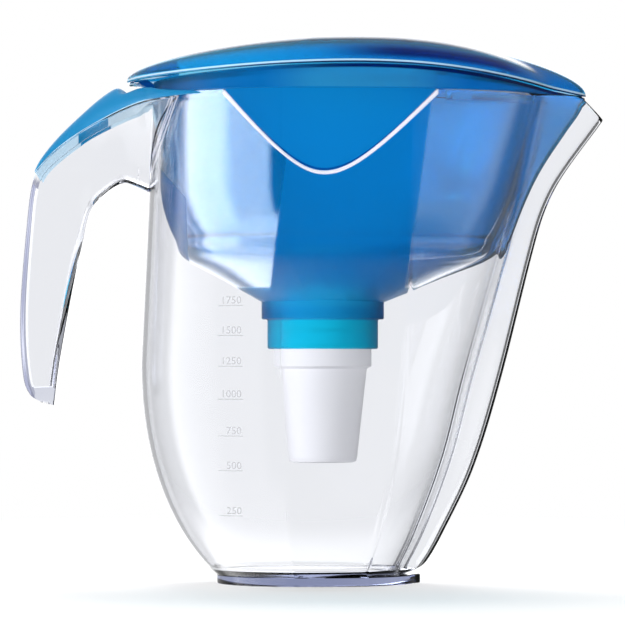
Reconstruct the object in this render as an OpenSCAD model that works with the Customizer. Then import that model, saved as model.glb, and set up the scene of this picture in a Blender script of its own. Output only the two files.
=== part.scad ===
// Water filter pitcher: a clear jug with a moulded pouring keel and a free-ended handle,
// a hanging funnel with a filter cartridge in its well, and a domed lid hinged over the handle.
// Millimetres. +X points to the pouring lip, +Z up, the origin lies under the middle of the foot.

/* [Jug] */
// Height of the jug's rim above the table
rim_z = 231; // [224:1:238]
// Reach of the belly towards the handle
belly_reach = 81.5; // [79:0.5:84]
// Height of the widest part of the belly
belly_z = 104.5; // [98:0.5:110]
// Reach of the rim towards the handle
rim_reach = 75.5; // [74:0.5:77]
// Half the width of the jug
jug_half = 71; // [67:0.5:74]
// Reach of the jug's oval towards the lip, at the rim
rim_front = 112; // [108:0.5:114]
// Thickness of the jug's wall
jug_wall = 2.5; // [2:0.1:3]
// Thickness of the jug's floor above the foot
jug_floor = 2.6; // [2:0.1:3.5]

/* [Foot] */
// Height of the foot plate
foot_h = 4.5; // [3.5:0.1:5.5]
// Reach of the foot towards the handle
foot_rear = 45.5; // [45:0.5:48]
// Reach of the foot towards the lip
foot_front = 48.2; // [47:0.1:50]
// Half the width of the foot
foot_half = 41.5; // [41:0.5:44]

/* [Spout] */
// Reach of the pouring lip's tip
lip_x = 138; // [134:0.5:141]
// Drop of the lip's tip below the rim
lip_drop = 10.4; // [8:0.2:13]
// Half the width of the spout at the rim
spout_half = 26; // [24:0.5:29]
// Half the width of the spout's keel at the foot
keel_half_low = 9; // [7:0.5:12]

/* [Side notches] */
// Place of the notch's lowest point along the jug
notch_x = 5.4; // [0:0.2:12]
// Depth of the notch below the rim
notch_depth = 38; // [25:0.5:42]
// Length of the notch from its lowest point to its end on the handle side
notch_rear = 47; // [40:0.5:52]
// Length of the notch from its lowest point to its end on the lip side
notch_front = 53; // [46:0.5:58]
// Rounding of the notch's lowest point
notch_round = 3; // [1:0.5:5]

/* [Handle] */
// Reach of the grip's back
grip_x = 138; // [134:0.5:141]
// Height of the grip's free end
grip_low = 84.6; // [75:0.5:95]
// Depth of the grip from its back to the fingers
grip_depth = 25; // [22:0.5:28]
// Half the width of the grip
grip_half = 13; // [11:0.5:15]
// Thickness of the handle's walls
handle_wall = 2.4; // [2:0.1:3]
// Half the width of the handle where it meets the rim
root_half = 44; // [40:1:48]

/* [Handle cover] */
// Thickness of the handle cover
cover_wall = 2.2; // [1.8:0.1:2.8]
// Half the distance between the tips of the cover's wings round the rim
wing_half = 55; // [50:1:57]
// Depth of the cover's skirt inside the handle
skirt_depth = 4.2; // [3:0.2:6]
// Thickness of the cover's skirt
skirt_wall = 1; // [0.8:0.1:1.4]
// Thickness of the snap catches on the skirt
catch_wall = 2.4; // [1.8:0.1:3]

/* [Funnel] */
// Thickness of the funnel's wall
funnel_wall = 2.2; // [1.8:0.1:2.6]
// Gap between the funnel and the inside of the jug
funnel_gap = 0.8; // [0.5:0.1:1.4]
// Reach of the funnel's nose in the spout
nose_x = 127.3; // [124:0.2:129]
// Height of the funnel's floor where it meets the well
well_top = 132.7; // [128:0.2:137]
// Rise of the funnel's floor from the well to the wall
floor_rise = 24; // [18:0.5:28]
// Place of the well's axis along the jug
well_x = 4.8; // [2:0.2:8]
// Bore radius of the well
well_bore = 24; // [22.5:0.1:25]
// Depth of the well below the funnel's floor
well_depth = 21.5; // [18:0.5:26]
// Width of the two finger tabs inside the funnel's rim
tab_w = 5.5; // [4:0.5:8]
// Height of the finger tabs
tab_h = 11; // [8:0.5:12]

/* [Lid] */
// Reach of the lid over the handle
lid_rear = 88.9; // [87.5:0.1:90]
// Rise of the lid's crown above its edge
lid_rise = 16.4; // [13:0.2:20]
// Thickness of the lid
lid_wall = 2; // [1.6:0.1:2.6]
// Overhang of the lid past the funnel's rim
lid_lip = 0.8; // [0.4:0.1:1.4]
// Gap between the lid's edge and what lies under it
lid_gap = 0.4; // [0.3:0.1:0.8]

/* [Hinge] */
// Distance of the hinge axis from the lid's rear end
hinge_back = 6; // [5.4:0.1:6.6]
// Radius of the hinge barrels
barrel_r = 2.3; // [2.1:0.1:2.5]
// Radius of the hinge pin
pin_r = 1.1; // [0.9:0.05:1.2]
// Half the length of the middle barrel
barrel_half = 14; // [10:0.5:16]
// Width of each of the lid's lugs
lug_w = 3.4; // [2.8:0.1:4.5]

/* [Cartridge] */
// Height of the cartridge's lower end above the table
cup_low = 57.5; // [54:0.5:64]
// Radius of the cartridge's lower end
cup_low_r = 16.3; // [14:0.1:18]
// Radius of the cartridge's collar under the well
collar_r = 23.1; // [22:0.1:23.3]
// Wall of the cartridge
cup_wall = 1.6; // [1.2:0.1:2]
// Height of the slotted cap above the well
cap_h = 10; // [8:0.5:13]
// Number of inlet slots round the cap
cap_slots = 16; // [8:1:20]

/* [Fits] */
// Radial running clearance of the hinge pin and the cartridge
running = 0.05; // [0.03:0.01:0.08]
// Seat clearance between pieces that lift apart
seat = 0.3; // [0.3:0.05:0.5]
// Gap between pieces fixed side by side
butt = 0.15; // [0.1:0.05:0.3]

/* [Hidden] */
$fn = 96;

// ---- Curves ----

// The step of a table of [place, value] that holds t
function span(p, t, i = 0) = (i >= len(p) - 2 || t < p[i + 1][0]) ? i : span(p, t, i + 1);

// The slope of a table at its row i
function slope(p, i) =
    let (a = max(i - 1, 0), b = min(i + 1, len(p) - 1)) (p[b][1] - p[a][1]) / (p[b][0] - p[a][0]);

// A smooth curve through a table of [place, value]; the values may be points
function curve(p, t) =
    let (i = span(p, t), h = p[i + 1][0] - p[i][0], s = (t - p[i][0]) / h)
    (2 * s ^ 3 - 3 * s ^ 2 + 1) * p[i][1] + (s ^ 3 - 2 * s ^ 2 + s) * h * slope(p, i)
    + (3 * s ^ 2 - 2 * s ^ 3) * p[i + 1][1] + (s ^ 3 - s ^ 2) * h * slope(p, i + 1);

function mix(a, b, s) = a * (1 - s) + b * s;
function clamp01(s) = max(0, min(1, s));
function smooth(s) = let (c = clamp01(s)) c * c * (3 - 2 * c);

// A quarter superellipse: 1 at s = 0, falling to 0 at s = 1
function arch(s, power) = pow(max(0, 1 - pow(abs(s), power)), 1 / power);

// ---- Plan outlines ----

oval_power = 2.15;      // roundness of the oval, 2 would be an ellipse
keel_blend = 12;        // higher makes the crease between oval and keel sharper
flat_front = 53.5;      // direction of the side panel's front crease
flat_rear = 102;        // direction of the side panel's rear crease
flat_share = 0.6;       // how far the panel lies between the oval and a flat chord

function oval(a, rear, front, half) =
    1 / pow(pow(abs(cos(a)) / (cos(a) < 0 ? rear : front), oval_power)
        + pow(abs(sin(a)) / half, oval_power), 1 / oval_power);

function keel(a, reach, half) =
    cos(a) <= 0 ? 0 : 1 / sqrt(pow(cos(a) / reach, 2) + pow(sin(a) / half, 2));

// The oval with a flatter panel on each side
function panelled(a, rear, front, half) =
    let (
        b = abs(a),
        r = oval(a, rear, front, half),
        r1 = oval(flat_rear, rear, front, half),
        r2 = oval(flat_front, rear, front, half),
        inside = b > flat_front && b < flat_rear,
        chord = r1 * r2 * sin(flat_rear - flat_front) / (r1 * sin(flat_rear - b) + r2 * sin(b - flat_front))
    )
    inside ? mix(r, chord, flat_share) : r;

// The whole outline; s is [rear reach, front reach, half width, keel reach, keel half width], inset by t
function outline(a, s, t = 0) =
    let (o = panelled(a, s[0] - t, s[1] - t, s[2] - t), k = keel(a, s[3] - t, s[4] - t))
    pow(pow(o, keel_blend) + pow(k, keel_blend), 1 / keel_blend);

// ---- Directions round the jug, closest at the keel, with one at each point of the notch ----

notch_bottom = atan2(jug_half, notch_x);
notch_front_end = atan2(jug_half * arch((notch_x + notch_front) / rim_front, oval_power), notch_x + notch_front);
notch_rear_end = atan2(jug_half * arch((notch_rear - notch_x) / rim_reach, oval_power), notch_x - notch_rear);
half_turn = concat(
    [for (i = [0 : 12]) notch_front_end * pow(i / 13, 1.5)],
    [for (i = [0 : 5]) mix(notch_front_end, notch_bottom, i / 6)],
    [for (i = [0 : 5]) mix(notch_bottom, notch_rear_end, i / 6)],
    [for (i = [0 : 8]) mix(notch_rear_end, 180, i / 8)]
);
turn = concat(half_turn, [for (i = [len(half_turn) - 2 : -1 : 1]) -half_turn[i]]);

function ring(r, z) = [for (i = [0 : len(turn) - 1]) [r[i] * cos(turn[i]), r[i] * sin(turn[i]), z[i]]];
function level(z) = [for (a = turn) z];

// ---- Solids ----

// A closed solid through rings of equal length, which turn anticlockwise seen from their far end;
// without caps the last ring joins the first one
module loft(rings, capped = true) {
    n = len(rings[0]);
    total = len(rings) * n;
    sides = [
        for (k = [0 : len(rings) - (capped ? 2 : 1)], i = [0 : n - 1])
        let (a = k * n + i, b = k * n + (i + 1) % n, c = (a + n) % total, d = (b + n) % total)
        each [[a, c, d], [a, d, b]]
    ];
    caps = [[for (i = [0 : n - 1]) i], [for (i = [n - 1 : -1 : 0]) total - n + i]];
    polyhedron([for (r = rings) each r], capped ? concat(sides, caps) : sides);
}

function reversed(list) = [for (i = [len(list) - 1 : -1 : 0]) list[i]];

// ---- Jug ----

belly_power = 2.1;
belly_drop = 118.5;
side_drop = 132;
side_z = belly_z + 10;
lip_z = rim_z - lip_drop;
jug_low = foot_h - 2;
shoulder_z = rim_z - 71;

function bulge(z, widest, drop) = arch(max(0, widest - z) / drop, belly_power);
function jug_rear(z) =
    z < belly_z ? belly_reach * bulge(z, belly_z, belly_drop)
    : mix(belly_reach, rim_reach, (z - belly_z) / (rim_z - belly_z));
jug_front_table = [
    [jug_low, 39.5], [24, 50], [60, 63.5], [100, 74], [165, 93], [rim_z - 31, 103], [rim_z, rim_front]
];
keel_reach_table = [
    [jug_low, 40], [foot_h, 42], [foot_h + 2, foot_front], [10, 53.4], [25, 62], [55, 76], [99, 89.3],
    [163, 104.3], [rim_z - 53, 109], [rim_z - 39, 116.4], [lip_z, lip_x], [rim_z + 9, lip_x + 13]
];
keel_half_table = [[jug_low, keel_half_low], [25, 13], [60, 16], [165, 20], [rim_z, spout_half]];

function jug_section(z) = [
    jug_rear(z),
    curve(jug_front_table, z),
    jug_half * bulge(z, side_z, side_drop),
    curve(keel_reach_table, z),
    curve(keel_half_table, z)
];

// Height of the rim line over a place along the jug: level, cut by the lip's slope and by the notches
lip_slope = lip_drop / (lip_x - nose_x);
function leg(d, length) =
    notch_depth * (sqrt(d * d + notch_round ^ 2) - notch_round) / (sqrt(length ^ 2 + notch_round ^ 2) - notch_round);
function notch_z(x) = rim_z - notch_depth + leg(x - notch_x, x < notch_x ? notch_rear : notch_front);
function rim_line(x) = min(rim_z, notch_z(x), lip_z + lip_slope * (lip_x - x));
function settle(a, z, n) =
    n == 0 ? z : settle(a, (z + rim_line(outline(a, jug_section(z)) * cos(a))) / 2, n - 1);
rim = [for (a = turn) settle(a, rim_z, 18)];

function jug_ring(z, t) = ring([for (i = [0 : len(turn) - 1]) outline(turn[i], jug_section(z[i]), t)], z);
function up_to_rim(share) = [for (z = rim) mix(shoulder_z, z, share)];

module jug_body() {
    low_levels = [jug_low, foot_h, foot_h + 2, 10, 16, 25, 38, 54, 74, 98, 128];
    inner_levels = [foot_h + jug_floor, 10, 16, 25, 38, 54, 74, 98, 128];
    shares = [0, 0.16, 0.32, 0.5, 0.68, 0.84, 1];
    outer = concat(
        [for (z = low_levels) jug_ring(level(z), 0)],
        [for (s = shares) jug_ring(up_to_rim(s), 0)]
    );
    inner = concat(
        [for (z = inner_levels) jug_ring(level(z), jug_wall)],
        [for (s = shares) jug_ring(up_to_rim(s), jug_wall)]
    );
    color([0.86, 0.9, 0.95, 0.45]) union() {
        loft(concat(outer, reversed(inner)));
        foot();
    }
}

module foot() {
    s = [foot_rear, foot_front, foot_half, foot_front, keel_half_low];
    linear_extrude(foot_h)
        polygon([for (a = [0 : 5 : 355]) let (b = a > 180 ? a - 360 : a) outline(b, s) * [cos(b), sin(b)]]);
}

// ---- Handle ----
// Stations run from the jug's wall over the bow to the free end. At each one the section stands between
// the finger side and the back, and widens from the fingers to the back.

bow_z = rim_z - 42;
back_z = rim_z - 36;
grip_mid = mix(grip_low, back_z, 0.45);
stations = 12;

root_gap = 0.7;         // at the root's points; its flat facets come closer to the jug's wall

// A place between the jug's rim and the grip's back
function reach(share) = -mix(rim_reach, grip_x, share);

// Finger side of each station, as [x, z]
finger_table = [
    [1, [reach(0.13), bow_z - 1]], [2, [reach(0.23), bow_z + 0.5]], [3, [reach(0.345), bow_z - 3.5]],
    [4.2, [reach(0.465), bow_z - 11.5]], [6, [grip_depth - grip_x + 4.4, bow_z - 27]],
    [8, [grip_depth - grip_x + 0.4, grip_mid + 10]], [10, [3 - grip_x + grip_depth * 0.62, grip_low + 22]],
    [12, [15.6 - grip_x, grip_low]]
];
// Edge where the cover sits, and past the cover the back of the grip
edge_table = [
    [1, [reach(0.035), rim_z - 4]], [2, [reach(0.16), rim_z - 6.2]], [3, [reach(0.31), rim_z - 10.1]],
    [4.2, [reach(0.535), rim_z - 17.5]], [6, [reach(0.815), rim_z - 31]], [6.7, [reach(0.9), back_z - 4]],
    [8, [3 - grip_x, grip_mid + 34]],
    [9.4, [-grip_x, grip_mid - 6]], [10.6, [1.2 - grip_x, grip_low + 15]], [11.5, [4.5 - grip_x, grip_low + 5]],
    [12, [10 - grip_x, grip_low + 1.2]]
];
low_half_table = [[1, 9.5], [3, 10], [6, grip_half - 2], [8, grip_half - 2], [11.4, grip_half - 3], [12, grip_half - 5]];
high_half_table = [
    [1, root_half - 6], [2, root_half - 14], [3, root_half - 20.5], [4.2, mix(root_half - 26, grip_half, 0.3)],
    [6, grip_half + 1], [8, grip_half], [11.4, grip_half - 2], [12, grip_half - 5]
];

// One side of the channel from its edge to the middle of the finger side, as
// [share of the half width, share of the way up]
channel_side = [[1, 1], [1, 0.8], [1, 0.6], [1, 0.4], [1, 0.22], [1, 0.1], [0.92, 0.03], [0.65, 0], [0, 0]];

// Where the jug's outer wall is, for a side distance y and a height z, on the handle side; above the rim
// the funnel's band stands there, which keeps more room
function wall_x(y, z, gap) =
    let (s = jug_section(min(z, rim_z)), t = gap + (z > rim_z ? 2 * seat : 0))
    -(s[0] + t) * arch(y / (s[2] + t), oval_power);

function finger(k) = curve(finger_table, max(k, 1));
function edge(k) = curve(edge_table, max(k, 1));
function low_half(k) = k < 1 ? 10 : curve(low_half_table, k);
function high_half(k) = k < 1 ? mix(root_half, root_half - 6, k) : curve(high_half_table, k);
function section_y(k, p, t) =
    p[0] * mix(low_half(k) - t, high_half(k) - t, pow(clamp01(p[1]), mix(2, 1, smooth((k - 3) / 3))));

// A point of the section at station k, y to the side and v up from the finger side; before station 1
// the section bends over to the jug's wall
function section_point(k, y, v) =
    let (
        f = finger(k),
        e = edge(k),
        q = f + (e - f) / norm(e - f) * v,
        z = mix(bow_z - 4, rim_z - 1.8, v / norm(e - f))
    )
    k >= 1 ? [q[0], y, q[1]] : mix([wall_x(y, z, root_gap), y, z], [q[0], y, q[1]], k);

function section_depth(k) = norm(edge(k) - finger(k));
function mirrored_y(side) = concat(side, [for (i = [len(side) - 2 : -1 : 0]) [side[i][0], -side[i][1], side[i][2]]]);
function channel_path(k, t) = mirrored_y([
    for (p = channel_side) section_point(k, section_y(k, p, t), mix(t, section_depth(k), p[1]))
]);

// A closed solid through sections that are open bands: an outer path and an inner path of equal length
module band_loft(outer, inner) {
    m = len(outer[0]);
    n = 2 * m;
    rings = [for (i = [0 : len(outer) - 1]) concat(outer[i], reversed(inner[i]))];
    last = (len(rings) - 1) * n;
    sides = [
        for (k = [0 : len(rings) - 2], i = [0 : n - 1])
        let (a = k * n + i, b = k * n + (i + 1) % n)
        each [[a, a + n, b + n], [a, b + n, b]]
    ];
    caps = [
        for (i = [0 : m - 2]) let (a = i, b = i + 1, c = n - 2 - i, d = n - 1 - i)
        each [[a, b, c], [a, c, d], [last + a, last + c, last + b], [last + a, last + d, last + c]]
    ];
    polyhedron([for (r = rings) each r], concat(sides, caps));
}

module handle_grip() {
    color([0.86, 0.9, 0.95, 0.45]) union() {
        handle_channel();
        grip_back();
        grip_end();
    }
}

module handle_channel() {
    steps = [for (k = [0 : 0.5 : stations]) k];
    band_loft([for (k = steps) channel_path(k, 0)], [for (k = steps) channel_path(k, handle_wall)]);
}

// The back of the grip closes the channel below the cover, let in between its sides
back_rebate = 0.3;
function back_ring(k) =
    let (w = high_half(k) - handle_wall / 2, d = section_depth(k) - back_rebate, low = d - handle_wall)
    [for (p = [[w, d], [w, low], [-w, low], [-w, d]]) section_point(k, p[0], p[1])];
module grip_back() {
    loft([for (k = [cover_end + 0.3 : 0.5 : stations - 0.2]) back_ring(k)]);
}

function end_ring(k) =
    let (w = handle_wall / 2, d = section_depth(k) - w)
    [for (p = [[high_half(k) - w, d], [low_half(k) - w, w], [w - low_half(k), w], [w - high_half(k), d]])
        section_point(k, p[0], p[1])];
module grip_end() {
    loft([for (k = [stations - 0.9, stations - 0.15]) end_ring(k)]);
}

// ---- Handle cover ----

cover_end = 6.5;
crown_table = [[0, 2.6], [1, 8], [2, 11], [3, 13.2], [4.2, 8.2], [6, 2.8], [6.5, 1.6]];
dip = 5.2;              // hollow under the lid's swinging rear end
dip_half = 16;
cover_power = 2.6;
cover_steps = [for (a = [9 : 9 : 90]) a];
catch_first = 3.1;
catch_last = 4.35;

function cover_half(k) = k < 1 ? mix(wing_half, high_half(1), k) : high_half(k);
function cover_dip(k, y) =
    dip * mix(0.2, 1, smooth(k)) * (1 - smooth(k - 2)) * (1 - smooth((abs(y) - dip_half) / 10));

// The skirt hangs inside the handle's walls and is thicker at the snap catches; it runs out at the rim
function skirt_drop(k) = mix(0.6, skirt_depth, smooth(k - 0.6));
function skirt_t(k) = k > catch_first && k < catch_last ? catch_wall : skirt_wall;
function skirt_point(k, drop, t) =
    section_point(k, section_y(k, [1, 1 - drop / section_depth(k)], handle_wall + seat + t), section_depth(k) - drop);
function skirt_y(k, t) = high_half(k) - handle_wall - seat - t;

function crown_point(k, half, a, t) =
    let (
        y = half * pow(cos(a), 2 / cover_power),
        up = (curve(crown_table, k) - t) * pow(sin(a), 2 / cover_power)
    )
    section_point(k, y, section_depth(k) + butt + up - cover_dip(k, y));

// From the skirt's foot over the cover's lower edge to the crown, outside and inside
function cover_outside(k) = mirrored_y(concat(
    [skirt_point(k, skirt_drop(k), 0), skirt_point(k, -butt, 0)],
    [section_point(k, cover_half(k), section_depth(k) + butt)],
    [for (a = cover_steps) crown_point(k, cover_half(k), a, 0)]
));
function cover_inside(k) =
    let (foot = skirt_point(k, skirt_drop(k), skirt_t(k)), top = skirt_point(k, 0, skirt_t(k)))
    mirrored_y(concat(
        [foot, mix(foot, top, 0.5), top],
        [for (a = cover_steps) crown_point(k, skirt_y(k, skirt_t(k)), a, cover_wall)]
    ));

module handle_cover() {
    steps = concat(
        [for (k = [0 : 0.5 : 3]) k], [catch_first, catch_first + 0.05, 3.5, 4, catch_last - 0.05, catch_last],
        [for (k = [4.5 : 0.5 : 6]) k], [cover_end]
    );
    color([0.13, 0.5, 0.8]) band_loft([for (k = steps) cover_outside(k)], [for (k = steps) cover_inside(k)]);
}

// ---- Funnel ----

funnel_inset = jug_wall + funnel_gap;
funnel_low = well_top + floor_rise + 6.3;
taper_top = rim_z - 41;
rear_taper = 7;
front_taper = 2.7;

function taper(z) = pow(clamp01((taper_top - z) / (taper_top - funnel_low)), 2);
nose_table = [
    [funnel_low, 86.5], [rim_z - 52.4, 92.8], [rim_z - 37.4, 102], [rim_z - 16.7, 118.1],
    [rim_z - 4, nose_x - 0.6], [rim_z + 20, nose_x]
];
nose_half_table = [[funnel_low, 9], [rim_z - 37.4, 15], [rim_z, spout_half - 4], [rim_z + 20, spout_half - 4]];

function funnel_section(z) =
    let (s = jug_section(min(z, rim_z)), d = taper(z))
    [
        min(s[0], rim_reach) - funnel_inset - rear_taper * d,
        s[1] - funnel_inset - front_taper * d,
        s[2] - funnel_inset - rear_taper * d,
        curve(nose_table, z),
        curve(nose_half_table, z)
    ];
function funnel_ring(z, t) = ring([for (i = [0 : len(turn) - 1]) outline(turn[i], funnel_section(z[i]), t)], z);

// The rim band stands on the jug's rim, flush with its outside, and ends under the lid's edge;
// the nose has no rim under it, so there the band reaches lower
band_section = [rim_reach, rim_front, jug_half, nose_x, spout_half - 3];
function band_ring(z, t) = ring([for (a = turn) outline(a, band_section, t)], z);

// Height of the lid's edge over a place along the jug
edge_z_table = [[-90, rim_z + 5.5], [0, rim_z + 11.4], [60, rim_z + 10.2], [nose_x, rim_z]];
function edge_z(x) = curve(edge_z_table, x);
band_top = [for (a = turn) edge_z(outline(a, band_section) * cos(a)) - lid_gap];
band_low = [for (z = band_top) min(rim_z + seat, z - 1.2)];

// The floor falls from the wall to the well
function floor_ring(s, t) =
    let (wall_ring = funnel_ring(level(funnel_low), t), r = well_bore + 3.5)
    [
        for (i = [0 : len(turn) - 1])
        let (hub = [well_x + r * cos(turn[i]), r * sin(turn[i]), 0], p = [wall_ring[i][0], wall_ring[i][1], 0])
        mix(hub, p, s) + [0, 0, well_top + floor_rise * s + t * (s < 1 ? 1.15 : 0)]
    ];

module funnel() {
    heights = [rim_z - 68 + 9, rim_z - 49, rim_z - 38, rim_z - 24, rim_z - 10];
    outer = concat(
        [for (s = [0, 0.5, 0.9]) floor_ring(s, 0)],
        [funnel_ring(level(funnel_low), 0)],
        [for (z = heights) funnel_ring(level(z), 0)],
        [funnel_ring(band_low, 0), band_ring(band_low, 0), band_ring(band_top, 0)]
    );
    inner = concat(
        [for (s = [0, 0.5, 0.9]) floor_ring(s, funnel_wall)],
        [funnel_ring(level(funnel_low + 1), funnel_wall)],
        [for (z = heights) funnel_ring(level(z), funnel_wall)],
        [funnel_ring([for (i = [0 : len(turn) - 1]) mix(band_low[i], band_top[i], 0.6)], funnel_wall)],
        [band_ring(band_top, funnel_wall)]
    );
    color([0.1, 0.55, 0.85, 0.75]) difference() {
        union() {
            loft(concat(outer, reversed(inner)), false);
            well();
            hinge_tongue();
            finger_tab();
            mirror([0, 1, 0]) finger_tab();
        }
        along_y(barrel_half + 1, pin_r + running);
    }
}

// Each finger tab lies flat on the inside of the rim at the lip end of the notch, to lift the funnel by
module finger_tab() {
    a = notch_front_end - 3;
    p = tab_point(a);
    along = tab_point(a + 1) - p;
    translate([p[0], p[1], tab_low]) rotate([0, 0, atan2(along[1], along[0])])
        translate([-tab_w / 2, 0, 0]) cube([tab_w, funnel_wall + 0.9, tab_h]);
}

tab_low = rim_z - 4;
function tab_point(a) = outline(a, funnel_section(tab_low), 0.3) * [cos(a), sin(a)];

// The well holds the cartridge: a bore, a shoulder for its flange and a collar under the floor
module well() {
    out = well_bore + funnel_wall;
    collar = flange_r + funnel_wall + 1;
    on_well() rotate_extrude() polygon([
        [well_bore, well_bottom], [out, well_bottom], [out, well_top - 7.5], [collar, well_top - 7.5],
        [collar, well_top + 2.4], [flange_r, well_top + 2.4], [flange_r, shoulder], [well_bore, shoulder]
    ]);
}

// The tongue carries the middle barrel of the hinge behind the rim band
module hinge_tongue() {
    along_y(barrel_half, barrel_r);
    translate([0, barrel_half, 0]) rotate([90, 0, 0]) linear_extrude(2 * barrel_half) polygon([
        [hinge_x - 1.6, hinge_z - 1.5], [hinge_x + 1, hinge_z - barrel_r], [-rim_reach - 0.6, rim_z + 2.3],
        [-rim_reach + 0.8, rim_z + 2.3], [-rim_reach + 0.8, rim_z + 4.9], [hinge_x + 1.2, hinge_z + 1.9]
    ]);
}

// ---- Lid ----

lid_section = [lid_rear, rim_front + lid_lip, jug_half + lid_lip, nose_x + 0.4, spout_half - 3 + lid_lip];
lid_mid = 30;
lid_power = 2.3;

function lid_ring(u, t) = [
    for (a = turn)
    let (
        r = outline(a, lid_section, t),
        x = mix(lid_mid, r * cos(a), u),
        y = r * sin(a) * u
    )
    [x, y, edge_z(x) + (lid_rise - t) * arch(u, lid_power)]
];

module lid() {
    shares = [1, 0.985, 0.95, 0.89, 0.78, 0.6, 0.36, 0.1];
    outer = [for (u = shares) lid_ring(u, 0)];
    inner = [for (u = shares) lid_ring(u, lid_wall)];
    color([0.05, 0.5, 0.85, 0.75]) difference() {
        union() {
            loft(concat(reversed(inner), outer));
            for (side = [-1, 1]) lid_lug(side);
        }
        hinge_slot();
        along_y(lug_out + 5, pin_r + running);
    }
}

// Each lug is a gusset under the lid's rear end
module lid_lug(side) {
    y = side * (barrel_half + seat + lug_w / 2);
    translate([hinge_x, y + lug_w / 2, hinge_z]) rotate([90, 0, 0]) cylinder(h = lug_w, r = barrel_r, $fn = 48);
    translate([0, y + lug_w / 2, 0]) rotate([90, 0, 0]) linear_extrude(lug_w) polygon([
        [hinge_x, hinge_z - barrel_r + 0.4], [hinge_x + 19, hinge_z + 1.5], [hinge_x + 19, hinge_z + 10],
        [hinge_x + 8, hinge_z + 6.5], [hinge_x, hinge_z + 1.6]
    ]);
}

// The slot lets the funnel's barrel stand in the lid's rear end
module hinge_slot() {
    half = barrel_half + seat;
    translate([-lid_rear - 5, -half, hinge_z - 10]) cube([hinge_x + barrel_r + 1 + lid_rear + 5, 2 * half, 20]);
}

// ---- Hinge ----

hinge_x = hinge_back - lid_rear;
hinge_z = edge_z(-lid_rear) + barrel_r;
lug_out = barrel_half + seat + lug_w;

module along_y(half, r) {
    translate([hinge_x, half, hinge_z]) rotate([90, 0, 0]) cylinder(h = 2 * half, r = r, $fn = 48);
}

module hinge_pin() {
    color([0.1, 0.45, 0.75]) along_y(lug_out - 0.6, pin_r);
}

// ---- Cartridge ----

well_bottom = well_top - well_depth;
shoulder = well_top - 2;
flange_r = well_bore + 1.8;
flange_h = 2.6;
cup_top = shoulder + seat + flange_h;
collar_low = well_bottom - 8.2;
body_r = well_bore - 0.6;
ring_r = 1.3;
ring_z = mix(well_bottom, shoulder, 0.45);
screen_h = 1;
media_low = cup_low + cup_wall + 1.4;

module on_well(z = 0) {
    translate([well_x, 0, z]) children();
}

// Half profile of the cup's outside, from the axis at the bottom to the flange
module cartridge_cup() {
    color([0.95, 0.95, 0.98]) on_well() difference() {
        rotate_extrude() polygon([
            [0, cup_low], [cup_low_r - 2, cup_low], [cup_low_r - 0.5, cup_low + 0.6], [cup_low_r, cup_low + 2.2],
            [collar_r - 2.2, collar_low - 1.2], [collar_r, collar_low], [collar_r, well_bottom - 0.4],
            [body_r - 0.5, well_bottom + 1], [body_r, well_bottom + 2], [body_r, ring_z - 1.2],
            [body_r - 1.5, ring_z - 1.2], [body_r - 1.5, ring_z + 1.2], [body_r, ring_z + 1.2],
            [body_r, shoulder + seat], [flange_r - seat, shoulder + seat], [flange_r - seat, cup_top],
            [body_r - cup_wall - 1.5, cup_top], [body_r - cup_wall - 1.5, ring_z - 3],
            [collar_r - cup_wall - 2.2, collar_low], [cup_low_r - cup_wall, media_low - 1.4], [0, media_low - 1.4]
        ]);
        for (i = [0 : 11])
            rotate(i * 30) translate([cup_low_r * 0.55, 0, cup_low - 1]) cylinder(h = 6, r = 1.1, $fn = 24);
    }
}

cap_r = flange_r - seat - 1.2;
module cartridge_cap() {
    color([0.95, 0.95, 0.98]) on_well(cup_top) difference() {
        rotate_extrude() polygon([
            [0, cap_h - 2], [0, cap_h], [cap_r - 8, cap_h - 1.2], [cap_r - 2, cap_h - 4], [cap_r, cap_h - 7],
            [cap_r, 0], [cap_r - 1.6, 0], [cap_r - 1.6, cap_h - 7.5], [cap_r - 3.2, cap_h - 5.2],
            [cap_r - 8.6, cap_h - 3]
        ]);
        for (i = [0 : cap_slots - 1])
            rotate(i * 360 / cap_slots) translate([cap_r - 5, -0.8, 1.3]) cube([8, 1.6, cap_h - 5.8]);
    }
}

module cartridge_seal() {
    color([0.3, 0.32, 0.36]) on_well(ring_z)
        rotate_extrude() translate([body_r - 1.5, -1.15]) square([well_bore - running - body_r + 1.5, 2.3]);
}

media_r = body_r - cup_wall - 1.5;
module inlet_screen() {
    color([0.8, 0.82, 0.85]) on_well(cup_top - screen_h) cylinder(h = screen_h, r = media_r);
}

module filter_media() {
    color([0.2, 0.2, 0.22]) on_well() rotate_extrude() polygon([
        [0, media_low + screen_h], [cup_low_r - cup_wall, media_low + screen_h],
        [collar_r - cup_wall - 2.3, collar_low], [media_r, ring_z - 2.6], [media_r, cup_top - screen_h],
        [0, cup_top - screen_h]
    ]);
}

module outlet_screen() {
    color([0.8, 0.82, 0.85]) on_well(media_low) cylinder(h = screen_h, r = cup_low_r - cup_wall - 0.2);
}

jug_body();
handle_grip();
handle_cover();
funnel();
lid();
hinge_pin();
cartridge_cup();
cartridge_cap();
cartridge_seal();
inlet_screen();
filter_media();
outlet_screen();
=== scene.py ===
# %% [markdown]
# # A water filter pitcher with a flip lid
# The pitcher is almost all plastic that light goes through: a clear jug with a pouring keel and a
# free-ended handle, a blue funnel hanging in it, and a blue lid hinged over the handle. Clear plastic
# shows its shape only by what it bends and mirrors, so most of this lesson is about smooth walls of
# real thickness, and about what stands around the pitcher for them to mirror.

# %% Load the packed model as a fixed frame
import math

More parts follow.
